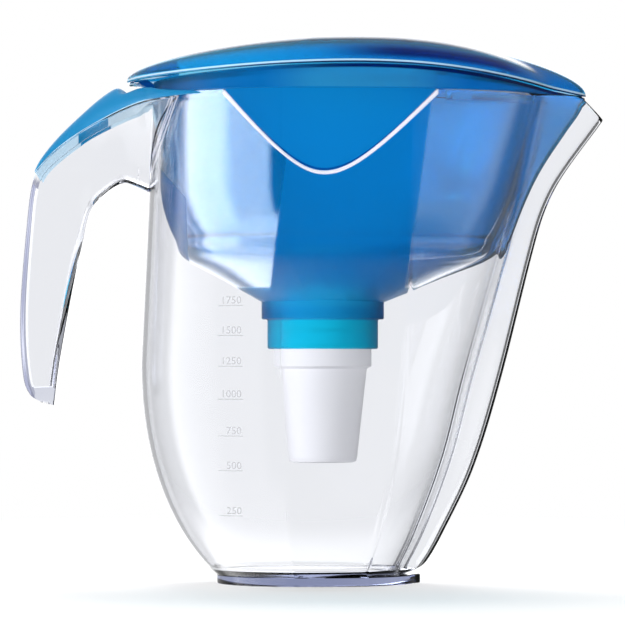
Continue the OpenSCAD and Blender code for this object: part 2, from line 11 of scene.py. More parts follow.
import bmesh
import bpy
import numpy as np
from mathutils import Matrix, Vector


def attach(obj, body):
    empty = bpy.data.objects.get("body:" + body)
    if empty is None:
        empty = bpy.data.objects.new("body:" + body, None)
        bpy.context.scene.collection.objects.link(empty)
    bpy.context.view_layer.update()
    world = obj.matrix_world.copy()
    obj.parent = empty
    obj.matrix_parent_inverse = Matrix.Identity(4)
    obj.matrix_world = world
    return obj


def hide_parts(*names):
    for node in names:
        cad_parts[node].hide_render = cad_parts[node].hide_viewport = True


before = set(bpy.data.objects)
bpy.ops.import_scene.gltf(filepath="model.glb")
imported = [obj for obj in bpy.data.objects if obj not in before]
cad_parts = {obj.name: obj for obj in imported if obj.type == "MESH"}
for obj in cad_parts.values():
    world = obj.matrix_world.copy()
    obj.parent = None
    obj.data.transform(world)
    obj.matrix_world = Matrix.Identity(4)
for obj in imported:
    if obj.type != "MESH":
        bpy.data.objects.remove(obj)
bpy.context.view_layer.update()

# %% [markdown]
# ## Helpers for curves
# The jug was drawn as a table of sizes against height. A smooth curve through such a table can be made
# with a spline object, but a Hermite curve in numpy gives every ring of the mesh in one step and is
# the same curve that the solid was built on, so the smooth walls land where the solid walls are.

# %% Smooth curves through tables
MM = 0.001


def curve(table, t):
    """A smooth curve through rows of [place, value]; the values may be points."""
    place = np.array([row[0] for row in table], float)
    value = np.array([row[1] for row in table], float)
    last = len(place) - 1
    t = np.asarray(t, float)
    i = np.clip(np.searchsorted(place, t, side="right") - 1, 0, last - 1)
    before = np.maximum(np.arange(last + 1) - 1, 0)
    after = np.minimum(np.arange(last + 1) + 1, last)
    run = place[after] - place[before]
    width = place[i + 1] - place[i]
    s = (t - place[i]) / width
    if value.ndim == 2:
        run, width, s = run[:, None], width[..., None], s[..., None]
    slope = (value[after] - value[before]) / run
    return (
        (2 * s**3 - 3 * s**2 + 1) * value[i]
        + (s**3 - 2 * s**2 + s) * width * slope[i]
        + (3 * s**2 - 2 * s**3) * value[i + 1]
        + (s**3 - s**2) * width * slope[i + 1]
    )


def mix(a, b, s):
    return a * (1 - s) + b * s


def smooth(s):
    c = np.clip(s, 0, 1)
    return c * c * (3 - 2 * c)


def arch(s, power):
    """A quarter superellipse: 1 at s = 0, falling to 0 at s = 1."""
    return np.maximum(0, 1 - np.abs(s) ** power) ** (1 / power)


print("half way up an arch:", round(float(arch(0.5, 2)), 3))

# %% [markdown]
# ## Meshes from rings
# A shell of real thickness is a stack of rings up the outside and down the inside, skinned with
# quads. A Solidify modifier on a single skin would do too, but glass needs clean, even walls and a
# rounded rim, and rings give control over both. Holes, wells and ribs are joined on with Boolean
# modifiers, so that the plastic stays one closed body: two bodies that overlap would show a seam.

# %% Mesh objects and skins
def mesh_object(name, points, faces, angle=32):
    """A mesh object from points in millimetres, smooth but for edges sharper than angle."""
    mesh = bpy.data.meshes.new(name)
    mesh.from_pydata((np.asarray(points) * MM).tolist(), [], faces)
    mesh.validate()
    form = bmesh.new()
    form.from_mesh(mesh)
    bmesh.ops.recalc_face_normals(form, faces=form.faces)
    form.to_mesh(mesh)
    form.free()
    finish_edges(mesh, angle)
    piece = bpy.data.objects.new(name, mesh)
    bpy.context.scene.collection.objects.link(piece)
    return piece


def finish_edges(mesh, angle):
    mesh.shade_smooth()
    mesh.set_sharp_from_angle(angle=math.radians(angle))


def skin(rings, wrap):
    """Faces through rings of equal length; wrap joins the last ring to the first."""
    n = len(rings[0])
    total = n * len(rings)
    faces = []
    for k in range(len(rings) if wrap else len(rings) - 1):
        for i in range(n):
            a, b = k * n + i, k * n + (i + 1) % n
            faces.append((a, b, (b + n) % total, (a + n) % total))
    return faces


def loft(name, rings, wrap=False, angle=32):
    faces = skin(rings, wrap)
    n, last = len(rings[0]), len(rings) * len(rings[0])
    if not wrap:
        faces += [tuple(range(n)), tuple(range(last - n, last))]
    return mesh_object(name, np.concatenate(rings), faces, angle)


print("faces between two rings of eight points:", len(skin([range(8)] * 2, False)))

# %% Turned and pulled forms
def turned(name, profile, centre, steps=144, angle=32):
    """A closed profile of [radius, height] turned about an upright axis."""
    turns = np.radians(np.arange(steps) * 360 / steps)
    rings = []
    for r, z in profile:
        r = max(r, 0.02)
        rings.append(np.stack([centre + r * np.cos(turns), r * np.sin(turns), np.full(steps, z)], 1))
    return loft(name, rings, wrap=True, angle=angle)


def extruded(name, outline_xz, y_low, y_high, angle=32):
    """An outline in the XZ plane pulled along Y."""
    rings = [np.array([[x, y, z] for x, z in outline_xz]) for y in (y_low, y_high)]
    return loft(name, rings, angle=angle)


# %% Joining and cutting
def boolean(piece, tools, operation, angle=32):
    """Joins tools to piece, or cuts them from it, and deletes them."""
    for tool in tools:
        step = piece.modifiers.new(operation, "BOOLEAN")
        step.operation = operation
        step.solver = "MANIFOLD"
        step.object = tool
    held = bpy.context.evaluated_depsgraph_get()
    mesh = bpy.data.meshes.new_from_object(piece.evaluated_get(held))
    piece.modifiers.clear()
    old, piece.data = piece.data, mesh
    bpy.data.meshes.remove(old)
    mesh.name = piece.name
    for tool in tools:
        bpy.data.objects.remove(tool)
    finish_edges(mesh, angle)
    print(piece.name, operation.lower(), len(mesh.polygons), "faces")
    return piece


# %% [markdown]
# ## Plan outlines
# Seen from above, every wall is an oval that merges with a narrow keel, and the oval is a little flatter
# on each side. Both are written as a radius for each direction, and a high power mean of the two keeps
# the crease between them crisp.

# %% Outlines as a radius for each direction
RIM_Z, BELLY_REACH, BELLY_Z, RIM_REACH = 231, 81.5, 104.5, 75.5
JUG_HALF, RIM_FRONT, JUG_WALL, JUG_FLOOR = 71, 112, 2.5, 2.6
FOOT_H, FOOT_REAR, FOOT_FRONT, FOOT_HALF = 4.5, 45.5, 48.2, 41.5
LIP_X, LIP_DROP, SPOUT_HALF, KEEL_HALF_LOW = 138, 10.4, 26, 9
NOTCH_X, NOTCH_DEPTH, NOTCH_REAR, NOTCH_FRONT, NOTCH_ROUND = 5.4, 38, 47, 53, 22
NOSE_X = 127.3
OVAL_POWER, KEEL_BLEND = 2.15, 12
FLAT_FRONT, FLAT_REAR, FLAT_SHARE = 53.5, 102, 0.6


def oval(a, rear, front, half):
    c, s = np.cos(a), np.sin(a)
    along = np.abs(c) / np.where(c < 0, rear, front)
    return 1 / (along**OVAL_POWER + (np.abs(s) / half) ** OVAL_POWER) ** (1 / OVAL_POWER)


def keel(a, reach, half):
    c, s = np.cos(a), np.sin(a)
    return np.where(c <= 0, 0, 1 / np.sqrt((c / reach) ** 2 + (s / half) ** 2))


def panelled(a, rear, front, half):
    """The oval with a flatter panel on each side."""
    b = np.abs(a)
    low, high = math.radians(FLAT_FRONT), math.radians(FLAT_REAR)
    r = oval(a, rear, front, half)
    r1, r2 = oval(high, rear, front, half), oval(low, rear, front, half)
    inside = (b > low) & (b < high)
    chord = r1 * r2 * np.sin(high - low) / np.where(
        inside, r1 * np.sin(high - b) + r2 * np.sin(b - low), 1
    )
    return np.where(inside, mix(r, chord, FLAT_SHARE), r)


def outline(a, section, inset=0.0):
    rear, front, half, reach, keel_half = section
    o = panelled(a, rear - inset, front - inset, half - inset)
    k = keel(a, reach - inset, keel_half - inset)
    return (o**KEEL_BLEND + k**KEEL_BLEND) ** (1 / KEEL_BLEND)


notch_bottom = math.atan2(JUG_HALF, NOTCH_X)
front_end = NOTCH_X + NOTCH_FRONT
rear_end = NOTCH_X - NOTCH_REAR
notch_front_end = math.atan2(JUG_HALF * arch(front_end / RIM_FRONT, OVAL_POWER), front_end)
notch_rear_end = math.atan2(JUG_HALF * arch(-rear_end / RIM_REACH, OVAL_POWER), rear_end)
half_turn = np.unique(
    np.round(
        np.concatenate(
            [
                notch_front_end * (np.arange(52) / 52) ** 1.5,
                np.linspace(notch_front_end, notch_bottom, 34),
                np.linspace(notch_bottom, notch_rear_end, 34),
                np.linspace(notch_rear_end, math.pi, 40),
                np.radians([FLAT_FRONT, FLAT_REAR]),
            ]
        ),
        9,
    )
)
turn = np.concatenate([half_turn, -half_turn[-2:0:-1]])
print("directions round the jug:", len(turn))

# %% [markdown]
# ## The jug
# The real jug is one clear moulding with a wall of two and a half millimetres, a thick foot plate, a keel
# that grows into the pouring lip, and a V notch in each side of the rim. The rim is rounded here, as a
# moulded rim is, because that round is what catches the bright line along the V.

# %% Sizes of the jug against height
LIP_Z = RIM_Z - LIP_DROP
SHOULDER_Z = RIM_Z - 71
FRONT_TABLE = [[2.5, 39.5], [24, 50], [60, 63.5], [100, 74], [165, 93], [200, 103], [231, 112]]
KEEL_REACH = [
    [2.5, 40], [4.5, 42], [6.5, 48.2], [10, 53.4], [25, 62], [55, 76], [99, 89.3],
    [163, 104.3], [178, 109], [192, 116.4], [LIP_Z, LIP_X], [240, 151],
]
KEEL_HALF = [[2.5, 9], [25, 13], [60, 16], [165, 20], [231, 26]]


def bulge(z, widest, drop):
    return arch(np.maximum(0, widest - z) / drop, 2.1)


def jug_rear(z):
    upper = mix(BELLY_REACH, RIM_REACH, (z - BELLY_Z) / (RIM_Z - BELLY_Z))
    return np.where(z < BELLY_Z, BELLY_REACH * bulge(z, BELLY_Z, 118.5), upper)


def jug_section(z):
    return (
        jug_rear(z),
        curve(FRONT_TABLE, z),
        JUG_HALF * bulge(z, BELLY_Z + 10, 132),
        curve(KEEL_REACH, z),
        curve(KEEL_HALF, z),
    )


def ring(r, z):
    z = np.broadcast_to(z, turn.shape)
    return np.stack([r * np.cos(turn), r * np.sin(turn), z], 1)


def jug_ring(z, inset):
    return ring(outline(turn, jug_section(z), inset), z)


print("the jug's reach in front and to the side at the belly:", curve(FRONT_TABLE, BELLY_Z).round(1), JUG_HALF)

# %% [markdown]
# The rim's height depends on how far forward a point of it is, and that depends in turn on the height,
# because the walls lean. It could be cut with a curved knife, but a cut edge has no round. So the height is
# guessed, and drawn halfway to the right line again and again, until it rests there.

# %% The rim line, settled by halving in every direction
def rounded(d):
    """A V with a rounded point: one branch of a hyperbola."""
    return np.sqrt(d * d + NOTCH_ROUND**2) - NOTCH_ROUND


def rim_line(x):
    """The rim's height at x: level, down and up in the V, and falling along the lip."""
    full = rounded(np.where(x < NOTCH_X, NOTCH_REAR, NOTCH_FRONT))
    notch = RIM_Z - NOTCH_DEPTH + NOTCH_DEPTH * rounded(x - NOTCH_X) / full
    lip = LIP_Z + LIP_DROP / (LIP_X - NOSE_X) * (LIP_X - x)
    return np.minimum(np.minimum(RIM_Z, notch), lip)


rim = np.full(turn.shape, float(RIM_Z))
for _ in range(24):
    rim = (rim + rim_line(outline(turn, jug_section(rim)) * np.cos(turn))) / 2
print("rim from", round(rim.min(), 1), "to", round(rim.max(), 1))

# %% The jug's walls
round_r, inside_floor = JUG_WALL / 2, FOOT_H + JUG_FLOOR
high_levels = np.linspace(15, SHOULDER_Z, 42)
low_levels = np.concatenate([np.linspace(4.6, 12, 9), high_levels])
inner_levels = np.concatenate([np.linspace(inside_floor + 1.5, 12, 5), high_levels])
shares = np.linspace(0, 1, 26)[1:]
foot_section = (FOOT_REAR, FOOT_FRONT, FOOT_HALF, FOOT_FRONT, KEEL_HALF_LOW)


def foot_ring(z, inset):
    return ring(outline(turn, foot_section, inset), z)


outer = [foot_ring(0.0, 8), foot_ring(0.0, 0.9), foot_ring(0.25, 0.25), foot_ring(0.8, 0)]
outer += [foot_ring(4.1, 0), foot_ring(4.5, 0.4)]
outer += [jug_ring(z, 0) for z in low_levels]
outer += [jug_ring(mix(SHOULDER_Z, rim - round_r, s), 0) for s in shares]
crown = [
    jug_ring(rim - round_r * (1 - math.sin(p)), round_r * (1 - math.cos(p)))
    for p in np.linspace(0, math.pi, 9)[1:-1]
]
inner = [jug_ring(mix(SHOULDER_Z, rim - round_r, s), JUG_WALL) for s in shares[::-1]]
inner += [jug_ring(z, JUG_WALL) for z in inner_levels[::-1]]
lowest = jug_section(np.float64(inside_floor + 1.5))
for inset, rise in ((0.4, 0.7), (1.6, 0.1), (6, 0)):
    inner.append(ring(outline(turn, lowest, JUG_WALL + inset), inside_floor + rise))
jug = loft("Jug_walls", outer + crown + inner)
print("jug:", len(jug.data.polygons), "faces")

# %% [markdown]
# A low rounded step stiffens the rim between each notch and the spout. It could be drawn into the jug's own
# rings, but it dies away at both ends, so it is a small loft of its own that is joined on.

# %% The bead between the notch and the spout
BEAD_H, BEAD_OUT, BEAD_TOP, BEAD_STEPS = 4.6, 0.7, RIM_Z - 0.9, 60
BEAD_PROFILE = [
    [-BEAD_H, -0.8], [0, -0.8], [-0.15, 0.45], [-0.5, BEAD_OUT], [0.9 - BEAD_H, BEAD_OUT],
    [0.3 - BEAD_H, 0.3],
]


def bead(side):
    """A low rounded step along the outside of the rim."""
    ways = np.linspace(math.radians(15), notch_front_end - math.radians(1.5), BEAD_STEPS)
    count = np.arange(BEAD_STEPS)
    ends = smooth(np.minimum(count, count[::-1]) / 4)
    rings = []
    for way, full in zip(ways, ends):
        points = []
        for z, out in BEAD_PROFILE:
            out = out * full if out > 0 else out
            r = outline(np.array([way]), jug_section(np.float64(BEAD_TOP + z)), -out)[0]
            points.append([r * math.cos(way), side * r * math.sin(way), BEAD_TOP + z])
        rings.append(np.array(points))
    return loft("Bead", rings)


boolean(jug, [bead(1), bead(-1)], "UNION")

# %% [markdown]
# ## The handle
# The handle is moulded with the jug: a U-shaped channel that leaves the rear of the jug, bows over and
# runs down to a free end. The finger side and the two cheeks are the channel, and below the blue cover a
# back wall closes it. It is skinned from stations along the bow, and joined to the jug by a Boolean, so
# that no seam shows where they meet.

# %% Stations along the handle
GRIP_LOW, HANDLE_WALL = 84.6, 2.4
BOW_Z, BACK_Z = RIM_Z - 42, RIM_Z - 36
GRIP_MID = mix(GRIP_LOW, BACK_Z, 0.45)
FINGER = [
    [1, [-83.625, BOW_Z - 1]], [2, [-89.875, BOW_Z + 0.5]], [3, [-97.0625, BOW_Z - 3.5]],
    [4.2, [-104.5625, BOW_Z - 11.5]], [6, [-108.6, BOW_Z - 27]],
    [8, [-112.6, GRIP_MID + 10]], [10, [-119.5, GRIP_LOW + 22]],
    [12, [-122.4, GRIP_LOW]],
]
EDGE = [
    [1, [-77.6875, RIM_Z - 4]], [2, [-85.5, RIM_Z - 6.2]], [3, [-94.875, RIM_Z - 10.1]],
    [4.2, [-108.9375, RIM_Z - 17.5]], [6, [-126.4375, RIM_Z - 31]], [6.7, [-131.75, BACK_Z - 4]],
    [8, [-135, GRIP_MID + 34]],
    [9.4, [-138, GRIP_MID - 6]], [10.6, [-136.8, GRIP_LOW + 15]], [11.5, [-133.5, GRIP_LOW + 5]],
    [12, [-128, GRIP_LOW + 1.2]],
]
LOW_HALF = [[1, 9.5], [3, 10], [6, 11], [8, 11], [11.4, 10], [12, 8]]
HIGH_HALF = [
    [1, 38], [2, 30], [3, 23.5], [4.2, 16.5], [6, 14], [8, 13], [11.4, 11], [12, 8],
]


def wall_x(y, z, gap):
    s = jug_section(np.minimum(z, RIM_Z))
    t = gap + np.where(z > RIM_Z, 0.6, 0)
    return -(s[0] + t) * arch(y / (s[2] + t), OVAL_POWER)


def low_half(k):
    return 10.0 if k < 1 else curve(LOW_HALF, k)


def high_half(k):
    return mix(44, 38, k) if k < 1 else curve(HIGH_HALF, k)


def section_depth(k):
    k = max(k, 1)
    return np.linalg.norm(curve(EDGE, k) - curve(FINGER, k))


def section_point(k, y, v, gap=-0.6):
    """A point at station k, y to the side and v up from the finger side."""
    f, e = curve(FINGER, max(k, 1)), curve(EDGE, max(k, 1))
    along = (e - f) / np.linalg.norm(e - f)
    x, z = f[0] + along[0] * v, f[1] + along[1] * v
    if k >= 1:
        return np.stack([x + 0 * y, y, z + 0 * y], 1)
    root_z = mix(BOW_Z - 4, RIM_Z - 1.8, v / section_depth(k))
    return np.stack([mix(wall_x(y, root_z, gap), x, k), y, mix(root_z, z, k)], 1)


def section_y(k, across, up, t):
    lean = mix(2, 1, smooth((k - 3) / 3))
    return across * mix(low_half(k) - t, high_half(k) - t, np.clip(up, 0, 1) ** lean)


print("the handle's depth halfway down:", round(float(section_depth(8)), 1))

# %% The channel, its back wall and its end
corner = np.radians(np.linspace(0, 90, 8))
FLAT, ROUND_UP = 0.72, 0.1
round_across, round_up = FLAT + (1 - FLAT) * np.cos(corner[1:]), ROUND_UP - ROUND_UP * np.sin(corner[1:])
side_across = np.concatenate([np.ones(13), round_across, np.linspace(FLAT, 0, 7)[1:]])
side_up = np.concatenate([np.linspace(1, ROUND_UP, 13), round_up, np.zeros(6)])
across = np.concatenate([side_across, -side_across[-2::-1]])
up = np.concatenate([side_up, side_up[-2::-1]])


def channel_path(k, t):
    return section_point(k, section_y(k, across, up, t), mix(t, section_depth(k), up))


def channel_ring(k):
    return np.concatenate([channel_path(k, 0), channel_path(k, HANDLE_WALL)[::-1]])


channel = loft("Channel", [channel_ring(k) for k in np.linspace(0, 12, 121)])


def back_ring(k):
    w, d = high_half(k) - HANDLE_WALL / 2, section_depth(k) - 0.3
    y = np.array([w, w, -w, -w])
    return section_point(k, y, np.array([d, d - HANDLE_WALL, d - HANDLE_WALL, d]))


back = loft("Back", [back_ring(k) for k in np.linspace(6.8, 11.8, 51)])


def end_ring(k):
    w, d = HANDLE_WALL / 2, section_depth(k) - HANDLE_WALL / 2
    high, low = high_half(k) - w, low_half(k) - w
    return section_point(k, np.array([high, low, -low, -high]), np.array([d, w, w, d]))


end = loft("End", [end_ring(k) for k in (11.1, 11.85)])
clear = boolean(jug, [channel, back, end], "UNION")
clear.name = "Clear_jug"

# %% [markdown]
# ## The cover over the handle
# A blue cap clips over the open top of the channel and spreads to the width of the rim. A thin skirt on each
# side goes down inside the channel, with a thicker snap catch on it. It could be a flat plate, thickened and
# bent, but its section changes all the way, so a section like a low arch is swept along the same stations
# as the channel, and the skirt and the catches are part of that section.

# %% The cover's arch, its skirt and its snap catches, swept along the stations
COVER_WALL, BUTT, SEAT, ROOT_GAP, WING_HALF = 2.2, 0.15, 0.3, 0.7, 55
DIP, DIP_HALF, COVER_POWER = 5.2, 16, 2.6
SKIRT_DEPTH, SKIRT_WALL, CATCH_WALL, CATCH_FIRST, CATCH_LAST = 4.2, 1.0, 2.4, 3.1, 4.35
CROWN = [[0, 2.6], [1, 8], [2, 11], [3, 13.2], [4.2, 8.2], [6, 2.8], [6.5, 1.6]]
lift = np.radians(np.linspace(2.5, 90, 36))


def crown_path(k, half, t):
    y = half * np.cos(lift) ** (2 / COVER_POWER)
    rise = (curve(CROWN, k) - t) * np.sin(lift) ** (2 / COVER_POWER)
    y[-1] = 0
    dip = DIP * mix(0.2, 1, smooth(k)) * (1 - smooth(k - 2)) * (1 - smooth((np.abs(y) - DIP_HALF) / 10))
    return y, section_depth(k) + BUTT + rise - dip


def skirt_path(k, drops, t):
    """Points down the inside of the handle's wall, drops below its edge."""
    drops = np.array(drops)
    up = 1 - drops / section_depth(k)
    return section_y(k, 1.0, up, HANDLE_WALL + SEAT + t), section_depth(k) - drops


def cover_ring(k):
    drop = mix(0.6, SKIRT_DEPTH, smooth(k - 0.6))
    t = mix(SKIRT_WALL, CATCH_WALL, smooth((k - CATCH_FIRST) / 0.05) * smooth((CATCH_LAST - k) / 0.05))
    half = mix(WING_HALF, 38, k) if k < 1 else high_half(k)
    paths = [skirt_path(k, [drop - 0.2, drop * 0.5, 0, -BUTT], 0)]
    paths += [(np.array([half - 0.3, half]), section_depth(k) + BUTT + np.array([0, 0.15]))]
    paths += [crown_path(k, half, 0)]
    outside = [np.concatenate([path[i] for path in paths]) for i in (0, 1)]
    hollow = high_half(k) - HANDLE_WALL - SEAT - t
    paths = [skirt_path(k, [drop, drop * 0.7, drop * 0.3, 0], t)]
    paths += [(np.array([hollow] * 2), section_depth(k) + np.array([0.05, 0.1]))]
    paths += [crown_path(k, hollow, COVER_WALL)]
    inside = [np.concatenate([path[i] for path in paths]) for i in (0, 1)]
    sides = []
    for y, v in (outside, inside):
        y, v = np.concatenate([y, -y[-2::-1]]), np.concatenate([v, v[-2::-1]])
        sides.append(section_point(k, y, v, gap=ROOT_GAP))
    return np.concatenate([sides[0], sides[1][::-1]])


catch_ends = [np.linspace(3.1, 3.15, 4), np.linspace(4.3, 4.35, 4)]
cover_steps = np.unique(np.concatenate([np.linspace(0, 6.5, 66), *catch_ends]))
cover = loft("Handle_cover", [cover_ring(k) for k in cover_steps])
print("cover:", len(cover.data.polygons), "faces")

# %% [markdown]
# ## The funnel
# The funnel hangs on the jug's rim by a band, follows the jug's wall inside, and has a floor that falls to
# a round well for the cartridge. It could be a solid that is hollowed out, but a hollowed solid has no even
# wall. Its walls are one closed skin with a hole at the well: rings go up the outside, over the band and down
# the inside, and the last ring joins the first.

# %% The funnel's walls
FUNNEL_WALL, WELL_TOP, FLOOR_RISE, WELL_X, WELL_BORE, WELL_DEPTH = 2.2, 132.7, 24, 4.8, 24, 21.5
FUNNEL_INSET = JUG_WALL + 0.8
FUNNEL_LOW = WELL_TOP + FLOOR_RISE + 6.3
TAPER_TOP = RIM_Z - 41
NOSE = [[FUNNEL_LOW, 86.5], [178.6, 92.8], [193.6, 102], [214.3, 118.1], [227, 126.7], [251, NOSE_X]]
NOSE_HALF = [[FUNNEL_LOW, 9], [193.6, 15], [231, 22], [251, 22]]


def funnel_section(z):
    s = jug_section(np.minimum(z, RIM_Z))
    d = np.clip((TAPER_TOP - z) / (TAPER_TOP - FUNNEL_LOW), 0, 1) ** 2
    return (
        np.minimum(s[0], RIM_REACH) - FUNNEL_INSET - 7 * d,
        s[1] - FUNNEL_INSET - 2.7 * d,
        s[2] - FUNNEL_INSET - 7 * d,
        curve(NOSE, z),
        curve(NOSE_HALF, z),
    )


def funnel_ring(z, inset):
    return ring(outline(turn, funnel_section(z), inset), z)


band_section = (RIM_REACH, RIM_FRONT, JUG_HALF, NOSE_X, SPOUT_HALF - 3)
EDGE_Z = [[-90, 236.5], [0, 242.4], [60, 241.2], [NOSE_X, 231]]


def band_ring(z, inset):
    return ring(outline(turn, band_section, inset), z)


band_top = curve(EDGE_Z, outline(turn, band_section) * np.cos(turn)) - 0.4
band_low = np.minimum(RIM_Z + 0.3, band_top - 1.2)
FLOOR = [[0, [0, 0]], [1, [0.5, 12]], [2, [0.9, 21.6]], [3, [1, 30.3]]]


def floor_ring(q, inset):
    s, rise = curve(FLOOR, q)
    wall = funnel_ring(np.float64(FUNNEL_LOW), inset)
    hub_r = WELL_BORE + 3.5
    hub = np.stack([WELL_X + hub_r * np.cos(turn), hub_r * np.sin(turn), 0 * turn], 1)
    points = mix(hub, wall, s)
    points[:, 2] = WELL_TOP + rise + inset * mix(1.15, 0.45, smooth((q - 2) / 1))
    return points


floor_steps = np.concatenate([np.linspace(0, 2, 9), np.linspace(2, 3, 12)[1:]])
wall_levels = np.linspace(FUNNEL_LOW, RIM_Z - 10, 34)[1:]
upper = np.linspace(0, 1, 5)[1:]
outer = [floor_ring(q, 0) for q in floor_steps]
outer += [funnel_ring(z, 0) for z in wall_levels]
outer += [funnel_ring(mix(RIM_Z - 10, band_low, s), 0) for s in upper]
outer += [band_ring(band_low, 0.3), band_ring(band_low + 0.25, 0)]
outer += [band_ring(mix(band_low + 0.25, band_top - 0.25, s), 0) for s in (0.5, 1)]
outer += [band_ring(band_top, 0.3)]
inner = [band_ring(band_top, FUNNEL_WALL - 0.3), band_ring(band_top - 0.3, FUNNEL_WALL)]
inner += [funnel_ring(mix(band_low, band_top, 0.6), FUNNEL_WALL)]
inner += [funnel_ring(mix(RIM_Z - 10, band_low, s), FUNNEL_WALL) for s in upper[::-1]]
inner += [funnel_ring(z, FUNNEL_WALL) for z in wall_levels[::-1]]
inner += [floor_ring(q, FUNNEL_WALL) for q in floor_steps[::-1]]
funnel = loft("Funnel", outer + inner, wrap=True)
print("funnel:", len(funnel.data.polygons), "faces")

# %% [markdown]
# Three kinds of detail are joined to the funnel's walls. The well is turned from its profile, as it would be
# on a lathe. The tongue at the rear carries the barrel that the lid's pin goes through. Two small tabs stand
# inside the rim, for the fingers that lift the funnel.

# %% The well
WELL_BOTTOM, SHOULDER = WELL_TOP - WELL_DEPTH, WELL_TOP - 2
FLANGE_R = WELL_BORE + 1.8
out_r = WELL_BORE + FUNNEL_WALL
collar_out = FLANGE_R + FUNNEL_WALL + 1
well = turned(
    "Well",
    [
        [WELL_BORE, WELL_BOTTOM + 0.4], [WELL_BORE + 0.4, WELL_BOTTOM], [out_r - 0.6, WELL_BOTTOM],
        [out_r, WELL_BOTTOM + 0.6], [out_r, WELL_TOP - 8.1], [out_r + 0.4, WELL_TOP - 7.5],
        [collar_out - 0.5, WELL_TOP - 7.5], [collar_out, WELL_TOP - 7], [collar_out, WELL_TOP + 1.9],
        [collar_out - 0.5, WELL_TOP + 2.4], [FLANGE_R + 0.3, WELL_TOP + 2.4], [FLANGE_R, WELL_TOP + 2.1],
        [FLANGE_R, SHOULDER], [WELL_BORE, SHOULDER],
    ],
    WELL_X,
)
print("the well's mouth:", 2 * FLANGE_R, "mm across")


# %% The hinge's tongue and barrel
LID_REAR, HINGE_BACK, BARREL_R, PIN_R, BARREL_HALF, LUG_W = 88.9, 6, 2.3, 1.1, 14, 3.4
HINGE_X = HINGE_BACK - LID_REAR
HINGE_Z = float(curve(EDGE_Z, -LID_REAR)) + BARREL_R


def round_outline(r, steps=48):
    """A circle round the hinge's axis."""
    turns = np.radians(np.arange(steps) * 360 / steps)
    return np.stack([HINGE_X + r * np.cos(turns), HINGE_Z + r * np.sin(turns)], 1)


def rod(name, half, r):
    return extruded(name, round_outline(r), -half, half)


tongue = extruded(
    "Tongue",
    [
        [HINGE_X - 1.6, HINGE_Z - 1.5], [HINGE_X + 1, HINGE_Z - BARREL_R], [-RIM_REACH - 0.6, RIM_Z + 2.3],
        [-RIM_REACH + 0.8, RIM_Z + 2.3], [-RIM_REACH + 0.8, RIM_Z + 4.9], [HINGE_X + 1.2, HINGE_Z + 1.9],
    ],
    -BARREL_HALF,
    BARREL_HALF,
)
barrel = rod("Barrel", BARREL_HALF, BARREL_R)
print("the hinge's axis is at x", round(HINGE_X, 1), "and z", round(HINGE_Z, 2))

# %% The finger tabs, and everything joined
TAB_W, TAB_H, TAB_LOW = 5.5, 11, RIM_Z - 4


def finger_tab(side):
    """A small upright tab inside the rim, to lift the funnel by."""
    ways = notch_front_end - np.radians([3.0, 2.0])
    r = outline(ways, funnel_section(np.float64(TAB_LOW)), 0.3)
    first, second = np.stack([r * np.cos(ways), r * np.sin(ways)], 1)
    along = (second - first) / np.linalg.norm(second - first)
    inward = np.array([-along[1], along[0]])
    rings = []
    for z, shrink in ((0, 0.5), (0.5, 0), (TAB_H - 1.5, 0), (TAB_H - 0.4, 0.3), (TAB_H, 0.9)):
        half, deep = TAB_W / 2 - shrink * 0.5, FUNNEL_WALL + 0.9 - shrink
        soft = deep - 0.3
        corners = [(-half, 0), (half, 0), (half, soft), (half - 0.4, deep), (0.4 - half, deep), (-half, soft)]
        flat = np.array([first + along * u + inward * v for u, v in corners])
        rings.append(np.column_stack([flat[:, 0], side * flat[:, 1], np.full(len(flat), TAB_LOW + z)]))
    return loft("Tab", rings)


boolean(funnel, [well, tongue, barrel, finger_tab(1), finger_tab(-1)], "UNION")
boolean(funnel, [rod("Bore", BARREL_HALF + 1, PIN_R + 0.05)], "DIFFERENCE")

# %% [markdown]
# ## The lid
# The lid is a low dome with a sharp lower edge that follows a gentle curve. It could be inflated from a flat
# plate, but then its edge would wander. Each ring of the dome is the edge's own outline, drawn in towards a
# point a little in front of the middle, and raised. Inside the rear end two gussets carry the eyes of the
# hinge, and a slot between them leaves room for the funnel's tongue.

# %% The lid's dome, lugs and hinge slot
LID_LIP, LID_WALL, LID_RISE, LID_MID, LID_POWER = 0.8, 2.0, 16.4, 30, 2.3
lid_section = (LID_REAR, RIM_FRONT + LID_LIP, JUG_HALF + LID_LIP, NOSE_X + 0.4, SPOUT_HALF - 3 + LID_LIP)


def lid_ring(u, t, raise_by=0.0):
    r = outline(turn, lid_section, t)
    x = mix(LID_MID, r * np.cos(turn), u)
    z = curve(EDGE_Z, x) + (LID_RISE - t) * arch(u, LID_POWER) + raise_by
    return np.stack([x, r * np.sin(turn) * u, z], 1)


lid_steps = np.concatenate([1 - 0.11 * np.linspace(0, 1, 12) ** 2, np.linspace(0.89, 0.03, 34)[1:]])
lip = [lid_ring(1.0, 1 - math.cos(p), 0.5 * (1 - math.sin(p))) for p in np.linspace(0, math.pi, 7)]
lid_outer = [lid_ring(u, 0) for u in lid_steps[2:]]
lid_inner = [lid_ring(u, LID_WALL) for u in lid_steps[2:]]
lid = loft("Lid", lid_outer[::-1] + lip + lid_inner)


def lug(side):
    middle = side * (BARREL_HALF + 0.3 + LUG_W / 2)
    gusset = [
        [HINGE_X, HINGE_Z - BARREL_R + 0.4], [HINGE_X + 19, HINGE_Z + 1.5], [HINGE_X + 19, HINGE_Z + 10],
        [HINGE_X + 8, HINGE_Z + 6.5], [HINGE_X, HINGE_Z + 1.6],
    ]
    sides = middle - LUG_W / 2, middle + LUG_W / 2
    return [extruded("Gusset", gusset, *sides), extruded("Eye", round_outline(BARREL_R), *sides)]


